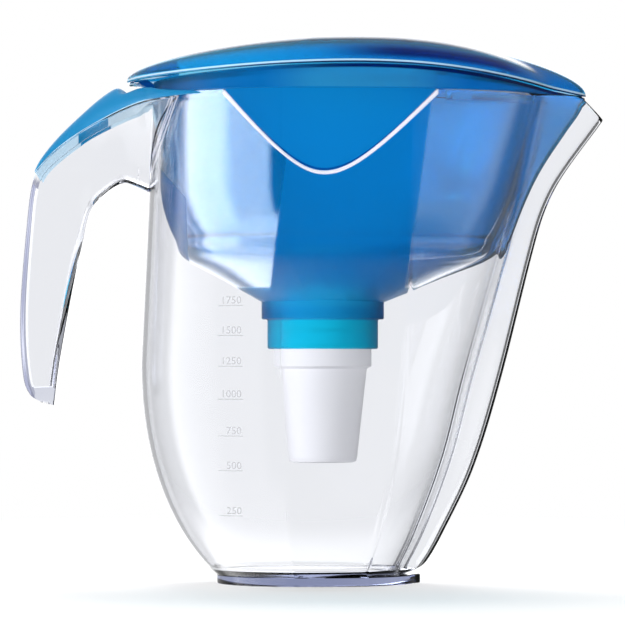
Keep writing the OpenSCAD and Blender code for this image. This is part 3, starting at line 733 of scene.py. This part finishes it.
boolean(lid, lug(-1) + lug(1), "UNION")
slot_half = BARREL_HALF + 0.3
slot = extruded(
    "Slot",
    [
        [-LID_REAR - 5, HINGE_Z - 10], [HINGE_X + BARREL_R + 1, HINGE_Z - 10],
        [HINGE_X + BARREL_R + 1, HINGE_Z + 10], [-LID_REAR - 5, HINGE_Z + 10],
    ],
    -slot_half,
    slot_half,
)
boolean(lid, [slot, rod("Lid_bore", 23, PIN_R + 0.05)], "DIFFERENCE")

# %% [markdown]
# ## Shader maths as plain sums
# Blender's materials are graphs of nodes. They could be wired up one node and one link at a time, but a long
# mask would take a page. A small class that wraps a socket lets a graph be written as an expression, so
# that `1 - edge * 0.4` adds its own Math nodes.

# %% A socket that can be added and multiplied
class Wire:
    def __init__(self, finish, socket):
        self.finish, self.socket = finish, socket

    def maths(self, operation, a, b=0.0, clamp=False):
        node = self.finish.tree.nodes.new("ShaderNodeMath")
        node.operation, node.use_clamp = operation, clamp
        for socket, value in zip(node.inputs, (a, b)):
            self.finish.put(socket, value)
        return Wire(self.finish, node.outputs[0])

    def __add__(self, other):
        return self.maths("ADD", self, other)

    def __sub__(self, other):
        return self.maths("SUBTRACT", self, other)

    def __rsub__(self, other):
        return self.maths("SUBTRACT", other, self)

    def __mul__(self, other):
        return self.maths("MULTIPLY", self, other)

    def __pow__(self, other):
        return self.maths("POWER", self, other)

    def limited(self):
        return self.maths("ADD", self, 0.0, clamp=True)

    __radd__, __rmul__ = __add__, __mul__


print("sums of sockets:", ", ".join(name.strip("_") for name in vars(Wire) if name.startswith("__r")))

# %% [markdown]
# A finish is one material. One method adds any node, and a few more name the things that plastic masks are
# made of: where the piece's own coordinates are, what lies between two values, and what lies over a line.

# %% A material and its nodes
class Finish:
    """A material, and one way to add any node to it."""

    def __init__(self, name):
        self.material = bpy.data.materials.new(name)
        self.material.use_nodes = True
        self.tree = self.material.node_tree
        self.tree.nodes.clear()

    def put(self, socket, value):
        if isinstance(value, Wire):
            self.tree.links.new(value.socket, socket)
        else:
            socket.default_value = value

    def node(self, kind, settings=None, sockets=None, out=0):
        node = self.tree.nodes.new("ShaderNode" + kind)
        for name, value in (settings or {}).items():
            setattr(node, name, value)
        for name, value in (sockets or {}).items():
            self.put(node.inputs[name], value)
        return Wire(self, node.outputs[out])

    def maths_of(self, operation, a, b=0.0):
        return Wire(self, None).maths(operation, a, b)

    def step(self, value, low, high):
        """0 below low, 1 above high, with a soft change between them."""
        limits = {"Value": value, "From Min": low, "From Max": high}
        return self.node("MapRange", {"interpolation_type": "SMOOTHSTEP"}, limits)

    def ramp(self, value, stops):
        """A colour ramp of [place, grey] stops, as a number."""
        node = self.tree.nodes.new("ShaderNodeValToRGB")
        marks = node.color_ramp.elements
        while len(marks) < len(stops):
            marks.new(0.5)
        for mark, (place, grey) in zip(marks, stops):
            mark.position, mark.color = place, (grey, grey, grey, 1)
        self.put(node.inputs[0], value)
        return Wire(self, node.outputs[0])

    def own(self):
        return self.node("TexCoord", out="Object")

    def own_mm(self):
        """The piece's own X, Y and Z in millimetres."""
        own = self.own()
        return [self.node("SeparateXYZ", sockets={0: own}, out=axis) * 1000 for axis in "XYZ"]

    def over_v(self, along, height):
        """Height over the line of the V notch."""
        d = along - NOTCH_X
        rear, front = (NOTCH_DEPTH / float(rounded(reach)) for reach in (NOTCH_REAR, NOTCH_FRONT))
        steep = self.maths_of("GREATER_THAN", d, 0.0) * (front - rear) + rear
        return height - ((d * d + NOTCH_ROUND**2) ** 0.5 - NOTCH_ROUND) * steep - (RIM_Z - NOTCH_DEPTH)

    def over_lid_edge(self, along, height):
        """Height over the line of the lid's lower edge."""
        xs = np.linspace(-89, 127, 60)
        return height - self.curve_of(along, xs, curve(EDGE_Z, xs), 5)

    def between(self, value, low, high, soft):
        """1 between low and high."""
        return self.step(value, low, low + soft) * (1 - self.step(value, high - soft, high))

    def curve_of(self, value, xs, ys, degree=4):
        """A smooth curve through points, as a polynomial of the value."""
        shares = [float(share) for share in np.polyfit(xs, ys, degree)]
        total = shares[0]
        for share in shares[1:]:
            total = value * total + share
        return total

    def noise(self, scale, detail=2.0):
        return self.node("TexNoise", sockets={"Vector": self.own(), "Scale": scale, "Detail": detail})

    def bump(self, height, strength, distance):
        return self.node("Bump", sockets={"Strength": strength, "Distance": distance, "Height": height})

    def grain(self, scale, strength, distance=0.0002):
        """A faint unevenness of a moulded skin, as a normal."""
        return self.bump(self.noise(scale, 3.0), strength, distance)

    def blend(self, share, first, second):
        """A Mix Shader of two shaders."""
        return self.node("MixShader", sockets={0: share, 1: first, 2: second})

    def colour_mix(self, share, first, second):
        return self.node("Mix", {"data_type": "RGBA"}, {0: share, 6: first, 7: second}, out=2)

    def show(self, surface, volume=None):
        output = self.tree.nodes.new("ShaderNodeOutputMaterial")
        self.put(output.inputs["Surface"], surface)
        if volume is not None:
            self.put(output.inputs["Volume"], volume)
        print(self.material.name + ":", len(self.tree.nodes), "nodes")
        return self.material

    def opaque(self, sockets):
        """A plain Principled shader, shown."""
        return self.show(self.node("BsdfPrincipled", sockets=sockets))


def dress(piece, material):
    piece.data.materials.clear()
    piece.data.materials.append(material)


# %% [markdown]
# ## Clear and blue plastic
# Clear plastic bends what is behind it and mirrors a little of what is beside it. A Glass shader could do
# that, but a Principled one also takes a coat and a weaker mirror on its inside, and exports well. It would
# stop the light of the lamps, so rays that only carry light pass through a Transparent shader in the
# plastic's own tint. Thick edges are deeper in colour than thin walls, which is what the absorption in the
# depth gives.

# %% Plastic that light goes through
def see_through(finish, sockets, shadow, tint, density, edge=None, highlight_sockets=None):
    """Principled plastic; tint and density are the absorption colour and density in its depth."""
    body = finish.node("BsdfPrincipled", sockets=sockets)
    # edge is a mask that mixes in a second, satin shader: lines of painted highlight.
    if edge is not None:
        body = finish.blend(edge, body, finish.node("BsdfPrincipled", sockets=highlight_sockets))
    passing = finish.node("BsdfTransparent", sockets={"Color": shadow})
    light_only = (
        finish.node("LightPath", out="Is Shadow Ray") + finish.node("LightPath", out="Is Diffuse Ray")
    ).limited()
    depth = finish.node("VolumeAbsorption", sockets={"Color": tint, "Density": density})
    return finish.show(finish.blend(light_only, body, passing), depth)


# %% [markdown]
# The jug's edges catch the light, and that light is painted on: a satin line of painted highlight runs round
# the V where the rim is cut low, a pair of painted highlight lines marks the rib in front of the handle, and
# the handle's back edge is a darker line of painted shade. They could be thin bodies of their own, but they
# are the look of the edge itself, so they are masks in the jug's own coordinates.

# %% The jug's clear plastic
RIB_Z, RIB_X, RIB_LEAN = 178.6, -82.9, 0.378
clear_finish = Finish("Clear_plastic")
along, across, height = clear_finish.own_mm()
over = clear_finish.over_v(along, height)
wide = clear_finish.between(along, NOTCH_X - NOTCH_REAR, NOTCH_X + NOTCH_FRONT, 1)
# Painted highlight: a satin line along the V's cut edge, where the rounded rim catches the light.
painted_v_highlight = clear_finish.between(over, -1.9, 0.6, 0.3) * wide * clear_finish.step(height, 190, 192)
off_rib = along - (height - RIB_Z) * RIB_LEAN - RIB_X
# Painted highlight: two light satin lines either side of the rib in front of the handle.
rib_highlights = clear_finish.between(off_rib, -1.9, -0.7, 0.4) + clear_finish.between(off_rib, 0.6, 1.7, 0.4)
beside = clear_finish.step(clear_finish.maths_of("ABSOLUTE", across), 14, 16)
rib_highlights = rib_highlights * beside * clear_finish.between(height, 178, RIM_Z - 1, 2)
back_edge = np.array([curve(EDGE, k) for k in np.linspace(6.8, 11.8, 40)])
inside_edge = along - clear_finish.curve_of(height, back_edge[:, 1], back_edge[:, 0])
# Painted shade: a darker grey line along the handle's back edge.
painted_back_shade = clear_finish.between(inside_edge, -2, 1.7, 0.5) * clear_finish.between(height, 80, 193, 3)
# The base colour is a little darker and bluer on the foot plate, below about 4.5 mm.
seen_clear = clear_finish.colour_mix(
    clear_finish.step(height, 4.0, 4.8), (0.88, 0.9, 0.96, 1), (0.95, 0.955, 0.965, 1)
)
clear_plastic = see_through(
    clear_finish,
    {
        "Base Color": clear_finish.colour_mix(painted_back_shade, seen_clear, (0.42, 0.43, 0.52, 1)),
        "Roughness": 0.0,
        "IOR": 1.49,
        "Transmission Weight": 1.0,
        "Specular Tint": (0.12, 0.12, 0.12, 1),
        "Normal": clear_finish.grain(9, 0.25),
    },
    (0.86, 0.85, 0.84, 1),
    (0.19, 0.25, 0.5, 1),
    20,
    (painted_v_highlight * 0.75 + rib_highlights * 0.45).limited(),
    {"Base Color": (0.86, 0.86, 0.97, 1), "Roughness": 0.3},
)

# %% [markdown]
# The funnel is polished on its two end panels, and satin in the V, on the middle panel and on the well. A
# clear coat gives the polish, because it mirrors the room without taking the blue away. Light and shade are
# painted into the blue: the well is painted a brighter cyan for the light on the white cartridge inside it,
# the lower rear corner under the handle and a line along the V are painted deeper as shade, and the band has
# painted light where light falls on it and a painted shadow where the lid shades it. Each could be a piece
# with a material of its own, but the funnel is one moulding, so the masks are worked out from its own
# coordinates, and ride along when it is lifted.

# %% The funnel's blue
PANEL_Z, PANEL_LEAN, PANEL_REAR, PANEL_FRONT = 203, 0.13, -11.5, 51.5
blue = Finish("Blue_funnel")
along, across, height = blue.own_mm()
over = blue.over_v(along, height)
in_v = blue.step(over, 0.5, 1.5)
leaning = along + (PANEL_Z - height) * PANEL_LEAN
behind = 1 - blue.step(leaning, PANEL_REAR - 1, PANEL_REAR + 1)
before = blue.step(leaning, PANEL_FRONT - 1, PANEL_FRONT + 1)
# Painted shade: a deeper blue in the lower rear corner under the handle.
painted_corner_shade = (1 - blue.step(along, -58.6, -57.6)) * (1 - blue.step(height + along * 1.2, 110.5, 112.5))
polished = (behind * (1 - painted_corner_shade) + before) * (1 - in_v) * blue.step(height, 139, 141)
polished = polished * (1 - blue.step(height, RIM_Z - 0.4, RIM_Z + 0.4))
shade_line = blue.between(over, 0.1, 1.5, 0.4) * (1 - blue.step(height, 229.5, 230.5))
# Painted light: the well is a brighter cyan, for the light on the white cartridge behind its wall.
well_painted_light = 1 - blue.step(height, 124.6, 125.4)
seen_blue = blue.colour_mix(well_painted_light, (0.05, 0.56, 0.88, 1), (0.02, 0.8, 1.0, 1))
seen_blue = blue.colour_mix(painted_corner_shade, seen_blue, (0.01, 0.42, 0.85, 1))
# Painted light: the band is paler in its middle, where light falls on it.
band_painted_light = blue.step(height, RIM_Z + 0.3, RIM_Z + 1) * blue.between(along, -25, 75, 30)
seen_blue = blue.colour_mix(band_painted_light, seen_blue, (0.4, 0.86, 0.98, 1))
# Painted shadow: a dark navy line on the band just under the lid's edge.
lid_painted_shadow = blue.step(blue.over_lid_edge(along, height), -2.6, -1.8) * blue.step(along, -60, 20)
seen_blue = blue.colour_mix(lid_painted_shadow, seen_blue, (0.01, 0.03, 0.16, 1))
seen_blue = blue.colour_mix(shade_line, seen_blue, (0.02, 0.2, 0.5, 1))
blue_funnel = see_through(
    blue,
    {
        "Base Color": seen_blue,
        "Roughness": 0.4 - polished * 0.25,
        "IOR": 1.45,
        "Transmission Weight": 0.97,
        "Specular Tint": (0.06, 0.06, 0.06, 1),
        "Coat Weight": polished,
        "Coat Roughness": 0.04,
        "Coat IOR": 2.0,
        "Normal": blue.grain(14, 0.2),
    },
    (0.85, 0.87, 0.88, 1),
    (0.17, 0.78, 0.9, 1),
    380,
)

# %% [markdown]
# The lid's dome is pale over the hinge and deepens towards the spout, and it is darkest in a low streak of
# painted shade along each side of the crown. Its edge is a sharp dark line of painted shadow with a painted
# highlight just over it. The highlight is a satin shader mixed in by a mask, because a line that lights up
# can't come from glass alone.

# %% The lid's blue
deep = Finish("Blue_lid")
along, across, height = deep.own_mm()
ahead = deep.step(along, -45, 60)
pale_blue = deep.colour_mix(ahead, (0.07, 0.6, 0.88, 1), (0.04, 0.42, 0.75, 1))
over_edge = deep.over_lid_edge(along, height)
beside = deep.step(deep.maths_of("ABSOLUTE", across), 26, 44)
# Painted shade: a dark streak low along each side of the crown.
painted_dark_streak = beside * deep.step(along, 0, 45) * (1 - deep.step(along, 98, 118))
painted_dark_streak = painted_dark_streak * deep.between(over_edge, 1.6, 9.5, 3)
# Painted shadow: a sharp dark line along the lid's lower edge.
painted_edge_shadow = (1 - deep.step(over_edge, 0.5, 0.8)) * deep.step(along, -70, -30)
# Painted highlight: a light satin line just over the lid's edge.
painted_edge_highlight = deep.between(over_edge, 0.6, 1.7, 0.3)
lid_blue = deep.colour_mix(painted_dark_streak, pale_blue, (0.012, 0.07, 0.28, 1))
blue_lid = see_through(
    deep,
    {
        "Base Color": deep.colour_mix(painted_edge_shadow, lid_blue, (0.003, 0.01, 0.05, 1)),
        "Roughness": 0.02,
        "IOR": 1.45,
        "Transmission Weight": 0.95,
        "Specular Tint": (0.25, 0.25, 0.25, 1),
        "Normal": deep.grain(14, 0.2),
    },
    (0.85, 0.87, 0.88, 1),
    (0.17, 0.74, 0.85, 1),
    300,
    painted_edge_highlight * 0.6,
    {"Base Color": (0.7, 0.85, 0.97, 1), "Roughness": 0.25},
)

# %% [markdown]
# The cover is deep blue above its lower edge, with a light line of painted highlight on the edge itself. Its
# skirt inside the clear handle is thin and pale, apart from the two thicker snap catches. The edge is a curve
# over the stations, so the mask compares each point's height with a polynomial through that curve.

# %% The cover's blue
satin = Finish("Blue_cover")
along, across, height = satin.own_mm()
middle = np.zeros(1)
edge = np.array([section_point(k, middle, section_depth(k) + BUTT)[0] for k in np.linspace(1, 6.5, 40)])
under = satin.curve_of(along, edge[:, 0], edge[:, 2]) - height
catch = [section_point(k, middle, section_depth(k))[0][0] for k in (CATCH_LAST, CATCH_FIRST)]
skirt = satin.step(under, 0.35, 0.6) * (1 - satin.between(along, *catch, 0.2))
tone = satin.colour_mix(skirt, (0.02, 0.25, 0.5, 1), (0.62, 0.8, 0.93, 1))
# Painted highlight: a light line along the cover's lower edge.
tone = satin.colour_mix(satin.between(under, -0.5, 0.35, 0.15), tone, (0.55, 0.78, 0.95, 1))
blue_cover = see_through(
    satin,
    {
        "Base Color": tone,
        "Roughness": 0.35,
        "IOR": 1.45,
        "Transmission Weight": 0.3,
        "Specular Tint": (0.25, 0.25, 0.25, 1),
        "Normal": satin.grain(60, 0.15),
    },
    (0.6, 0.62, 0.64, 1),
    (0.4, 0.85, 0.93, 1),
    120,
)

# %% [markdown]
# Each new piece gets its finish, hides the solids it stands for, and rides on the body that carries them.

# %% Finishes, solids and bodies of the four plastic pieces
for piece, material, body, slot_name, nodes in (
    (clear, clear_plastic, "jug", "clear_plastic", ("jug_body", "handle_grip")),
    (cover, blue_cover, "jug", "blue_cover", ("handle_cover",)),
    (funnel, blue_funnel, "funnel", "blue_funnel", ("funnel",)),
    (lid, blue_lid, "lid", "blue_lid", ("lid",)),
):
    dress(piece, material)
    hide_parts(*nodes)
    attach(piece, body)
    print(piece.name, "rides on", body)

# %% [markdown]
# ## The volume marks
# The marks are numerals with a line under each. They could be a mask in the jug's material, but numerals
# are hard to write as sums. Here they come from Blender's own font as flat outlines, and every point of
# them is laid on the jug's wall, so they follow its curve.

# %% Numerals and lines laid on the wall
MARKS = [[1750, 131.9], [1500, 118.1], [1250, 103.9], [1000, 88.7], [750, 71.7], [500, 55.6], [250, 34.5]]
MARK_HIGH, MARK_RIGHT, MARK_PROUD = 3.4, -32.6, 0.12
LINE_LONG, LINE_PAST, LINE_UNDER, LINE_HIGH, CAPITAL_SHARE = 11, 0.5, 0.7, 0.35, 0.7


def on_wall(x, z, proud):
    """The point of the near wall at x and z, raised by proud."""
    hit, place, normal, index = clear.ray_cast((x * MM, -0.3, z * MM), (0, 1, 0))
    return np.array(place) / MM + np.array(normal) * proud


def numeral(text, right, low):
    shape = bpy.data.curves.new("Numeral", "FONT")
    shape.body, shape.size, shape.align_x = text, MARK_HIGH / CAPITAL_SHARE, "RIGHT"
    shape.resolution_u = 3
    holder = bpy.data.objects.new("Numeral", shape)
    flat = holder.to_mesh()
    points = [on_wall(right + p.co.x, low + p.co.y, MARK_PROUD) for p in flat.vertices]
    faces = [tuple(face.vertices) for face in flat.polygons]
    holder.to_mesh_clear()
    bpy.data.objects.remove(holder)
    bpy.data.curves.remove(shape)
    return points, faces


def underline(left, right, low):
    points = []
    for x in np.linspace(left, right, 9):
        for part, proud in ((0, 0.0), (0.5, MARK_PROUD), (1, 0.0)):
            points.append(on_wall(x, low - LINE_UNDER - LINE_HIGH * part, proud))
    faces = [(3 * i + j, 3 * i + j + 1, 3 * i + j + 4, 3 * i + j + 3) for i in range(8) for j in range(2)]
    return points, faces


points, faces = [], []
for volume, low in MARKS:
    line = underline(MARK_RIGHT - LINE_LONG, MARK_RIGHT + LINE_PAST, low)
    for more, extra in (numeral(str(volume), MARK_RIGHT, low), line):
        faces += [tuple(i + len(points) for i in face) for face in extra]
        points += list(more)
marks = mesh_object("Volume_marks", points, faces)
frosted = Finish("Frosted_marks")
speck = frosted.noise(700.0)
seen_marks = {
    "Base Color": frosted.colour_mix(speck, (0.2, 0.2, 0.23, 1), (0.3, 0.3, 0.33, 1)),
    "Roughness": speck * 0.2 + 0.4,
    "Alpha": 0.4,
}
dress(marks, frosted.opaque(seen_marks))
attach(marks, "jug")
print("marks:", len(faces), "faces")

# %% [markdown]
# ## The cartridge and the pin
# These are small solids whose shape is right as it is, so they keep the solid model's mesh. They could all be
# one grey plastic, but through the clear jug each is told apart by its finish: moulded white plastic, soft
# rubber, woven mesh, loose granules and turned steel. Noise, waves and cells give them their grain.

# %% Finishes for the cartridge and the pin
white = Finish("White_plastic")
mottle = white.noise(60.0, 4.0)
white_plastic = white.opaque({
    "Base Color": white.colour_mix(mottle, (0.84, 0.85, 0.91, 1), (0.88, 0.89, 0.93, 1)),
    "Roughness": mottle * 0.1 + 0.32,
    "Normal": white.grain(300, 0.1, 0.0001),
})
rubber = Finish("Seal_rubber")
dust = rubber.noise(400.0, 5.0)
seal_rubber = rubber.opaque({
    "Base Color": rubber.colour_mix(dust, (0.72, 0.74, 0.78, 1), (0.84, 0.85, 0.88, 1)),
    "Roughness": dust * 0.2 + 0.5,
    "Normal": rubber.grain(900, 0.3, 0.0001),
})
THREADS = 6.3
woven = Finish("Woven_mesh")
along, across, height = woven.own_mm()
weave = woven.maths_of("SINE", along * THREADS) * woven.maths_of("SINE", across * THREADS)
weave = (weave * 0.5 + 0.5).limited()
screen_mesh = woven.opaque({
    "Base Color": woven.colour_mix(weave, (0.62, 0.64, 0.68, 1), (0.9, 0.9, 0.92, 1)),
    "Roughness": weave * 0.3 + 0.4,
    "Normal": woven.bump(weave, 0.6, 0.0002),
})
loose = Finish("Filter_granules")
cells = {"Vector": loose.own(), "Scale": 900.0}
grains = loose.node("TexVoronoi", sockets=cells)
kinds = loose.node("TexVoronoi", sockets=cells, out="Color")
carbon = loose.step(loose.node("SeparateXYZ", sockets={0: kinds}, out="X"), 0.45, 0.55)
filter_granules = loose.opaque({
    "Base Color": loose.colour_mix(carbon, (0.83, 0.78, 0.66, 1), (0.02, 0.02, 0.022, 1)),
    "Roughness": carbon * -0.2 + 0.75,
    "Normal": loose.bump(grains * -1, 0.8, 0.0008),
})
steel = Finish("Hinge_steel")
along, across, height = steel.own_mm()
turning = steel.maths_of("SINE", across * 40) * 0.5 + 0.5
hinge_steel = steel.opaque({
    "Base Color": (0.62, 0.63, 0.65, 1),
    "Metallic": 1.0,
    "Roughness": turning * 0.12 + 0.22,
    "Normal": steel.bump(turning, 0.2, 0.0001),
})
for name, material in (
    ("cartridge_cup", white_plastic),
    ("cartridge_cap", white_plastic),
    ("cartridge_seal", seal_rubber),
    ("inlet_screen", screen_mesh),
    ("outlet_screen", screen_mesh),
    ("filter_media", filter_granules),
    ("hinge_pin", hinge_steel),
):
    dress(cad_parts[name], material)

# %% [markdown]
# ## Camera
# A long lens far away keeps the pitcher's proportions flat, and a level camera keeps its sides upright. The
# picture's middle lies higher than the lens, which is done by shifting the frame and not by tilting.

# %% Camera
DISTANCE, EYE, SENSOR = 2.1, 0.105, 36
FRAME_WIDE, FRAME_MIDDLE = 0.296875, 0.1285
camera = bpy.data.objects.new("Camera", bpy.data.cameras.new("Camera"))
bpy.context.scene.collection.objects.link(camera)
camera.location = (0, -DISTANCE, EYE)
camera.rotation_euler = (math.pi / 2, 0, 0)
camera.data.sensor_width = SENSOR
camera.data.lens = SENSOR * DISTANCE / FRAME_WIDE
camera.data.shift_y = (FRAME_MIDDLE - EYE) / FRAME_WIDE
camera.data.clip_end = 100
bpy.context.scene.camera = camera
bpy.context.scene.view_settings.view_transform = "Standard"
print("lens:", round(camera.data.lens), "mm")

# %% [markdown]
# ## Rays that see the backdrop, and rays that only carry light
# A white backdrop that is as bright as it looks would flood the pitcher with light. So the backdrop is white
# to the rays that show it, and dimmer to the rays that only light things up. Light Path tells them apart.


# %% Kinds of ray
def seen_share(finish):
    """1 for rays that show the backdrop: straight ones, and those that a surface mirrored or bent."""
    straight, glossy, bent = (
        finish.node("LightPath", out="Is " + kind + " Ray") for kind in ("Camera", "Glossy", "Transmission")
    )
    return (straight + glossy + bent).limited()


def mirrored_share(finish):
    """1 for rays that a surface has mirrored at least once."""
    return finish.node("LightPath", out="Glossy Depth").limited()


# %% [markdown]
# ## Floor
# Near the pitcher the floor is pale and matte and takes its shadow. Farther out it fades to plain white, so
# that no horizon shows. It lets mirrored rays through, so that the plastic mirrors the same room below
# as above, and no grey veil of floor lies over the blue.

# %% Floor
FLOOR_REACH, FLOOR_DROP, FADE_FROM, FADE_TO = 6000, 0.2, 0.2, 0.9
corners = [[x * FLOOR_REACH, y * FLOOR_REACH, -FLOOR_DROP] for x, y in ((-1, -1), (1, -1), (1, 1), (-1, 1))]
floor = mesh_object("Floor", corners, [(0, 1, 2, 3)])
pale = Finish("Pale_floor")
matte = pale.node("BsdfDiffuse", sockets={"Color": (0.8, 0.8, 0.8, 1)})
glow = pale.node("Emission", sockets={"Color": (1, 1, 1, 1), "Strength": 0.1})
near_floor = pale.node("AddShader", sockets={0: matte, 1: glow})
far_floor = pale.node("Emission", sockets={"Color": (1, 1, 1, 1), "Strength": seen_share(pale) * 0.65 + 0.35})
place = pale.node("NewGeometry", out="Position")
away = pale.node("VectorMath", {"operation": "LENGTH"}, {0: place}, out="Value")
seen_floor = pale.blend(pale.step(away, FADE_FROM, FADE_TO), near_floor, far_floor)
dress(floor, pale.show(pale.blend(mirrored_share(pale), seen_floor, pale.node("BsdfTransparent"))))

# %% [markdown]
# ## The room that the plastic mirrors
# Glossy plastic needs something to mirror. Here it is a ring of walls: a tall bright one on the left, a
# greyer one beside it, darkness behind the camera, and dim walls on the right and at the back. Real cards
# could stand there, but they would show through the clear walls as well. A plastic wall mirrors on its
# inside too, and such a ray leaves the wall as a bent one, so the world asks how often a ray was mirrored,
# not what kind it is now. Rays that were never mirrored find the white backdrop.


# %% The room's walls, as brightness against heading
class Surround(Finish):
    """The world's nodes, added in the same way as a material's."""

    def __init__(self, world):
        self.tree = world.node_tree
        self.tree.nodes.clear()


world = bpy.data.worlds.new("World")
bpy.context.scene.world = world
world.use_nodes = True
room = Surround(world)
direction = room.node("TexCoord", out="Generated")
x, y, z = (room.node("SeparateXYZ", sockets={0: direction}, out=axis) for axis in "XYZ")
heading = room.maths_of("ARCTAN2", x, y * -1) * (0.5 / math.pi) + 0.5
WALLS = [
    [-180, 0.2], [-170, 0.2], [-162, 0.07], [-108, 0.07], [-98, 0.72], [-64, 0.75], [-54, 0.42],
    [-27, 0.38], [-23, 0.0], [27, 0.0], [31, 0.11], [98, 0.11], [110, 0.02], [162, 0.02], [172, 0.2],
    [180, 0.2],
]
WALL_LIGHT, CEILING_LIGHT = 8, 0.25
walls = room.ramp(heading, [((degrees + 180) / 360, value) for degrees, value in WALLS])
print("walls from", WALLS[0][0], "to", WALLS[-1][0], "degrees, 0 being towards the camera")

# %% The room's ceiling and floor, and what each ray sees
high = room.step(z, 0.25, 0.45)
low = room.step(z * -1, 0.45, 0.7)
left_floor = room.step(x * -1, 0.0, 0.12) * 0.5 + 0.04
walls = walls * (1 - low) + left_floor * low
mirrored_room = walls * WALL_LIGHT * (1 - high) + high * CEILING_LIGHT
mirrored = mirrored_share(room)
brightness = mirrored * mirrored_room + (1 - mirrored) * (seen_share(room) * 0.72 + 0.28)
sky = room.node("Background", sockets={"Color": (1, 1, 1, 1), "Strength": brightness})
room.put(room.tree.nodes.new("ShaderNodeOutputWorld").inputs["Surface"], sky)
print("world:", len(room.tree.nodes), "nodes")

# %% [markdown]
# ## Lamps
# Three soft lamps light the pitcher. The two in front cast no shadow, so that they also reach the cup and the
# well inside. The one high behind it does, and lays the soft shadow on the floor in front. None of them can
# be seen or mirrored, because the room does that.


# %% Lamps
def lamp(name, place, aim, size, power, shades=True):
    light = bpy.data.lights.new(name, "AREA")
    light.shape = "SQUARE"
    light.size = size
    light.energy = power
    light.use_shadow = shades
    holder = bpy.data.objects.new(name, light)
    bpy.context.scene.collection.objects.link(holder)
    holder.location = place
    holder.rotation_euler = (Vector(aim) - Vector(place)).to_track_quat("-Z", "Y").to_euler()
    holder.visible_camera = holder.visible_glossy = holder.visible_transmission = False
    print(name, power, "W")


lamp("Left_softbox", (-1.0, -0.7, 0.7), (0, 0, 0.13), 0.8, 17, shades=False)
lamp("Right_fill", (0.9, -1.0, 0.4), (0, 0, 0.1), 0.6, 6, shades=False)
lamp("Top_softbox", (0, 0.75, 1.25), (0, 0, 0.05), 0.8, 17)

# %% [markdown]
# ## The last line
# The scene is brought up to date.

# %% The last line
bpy.context.view_layer.update()
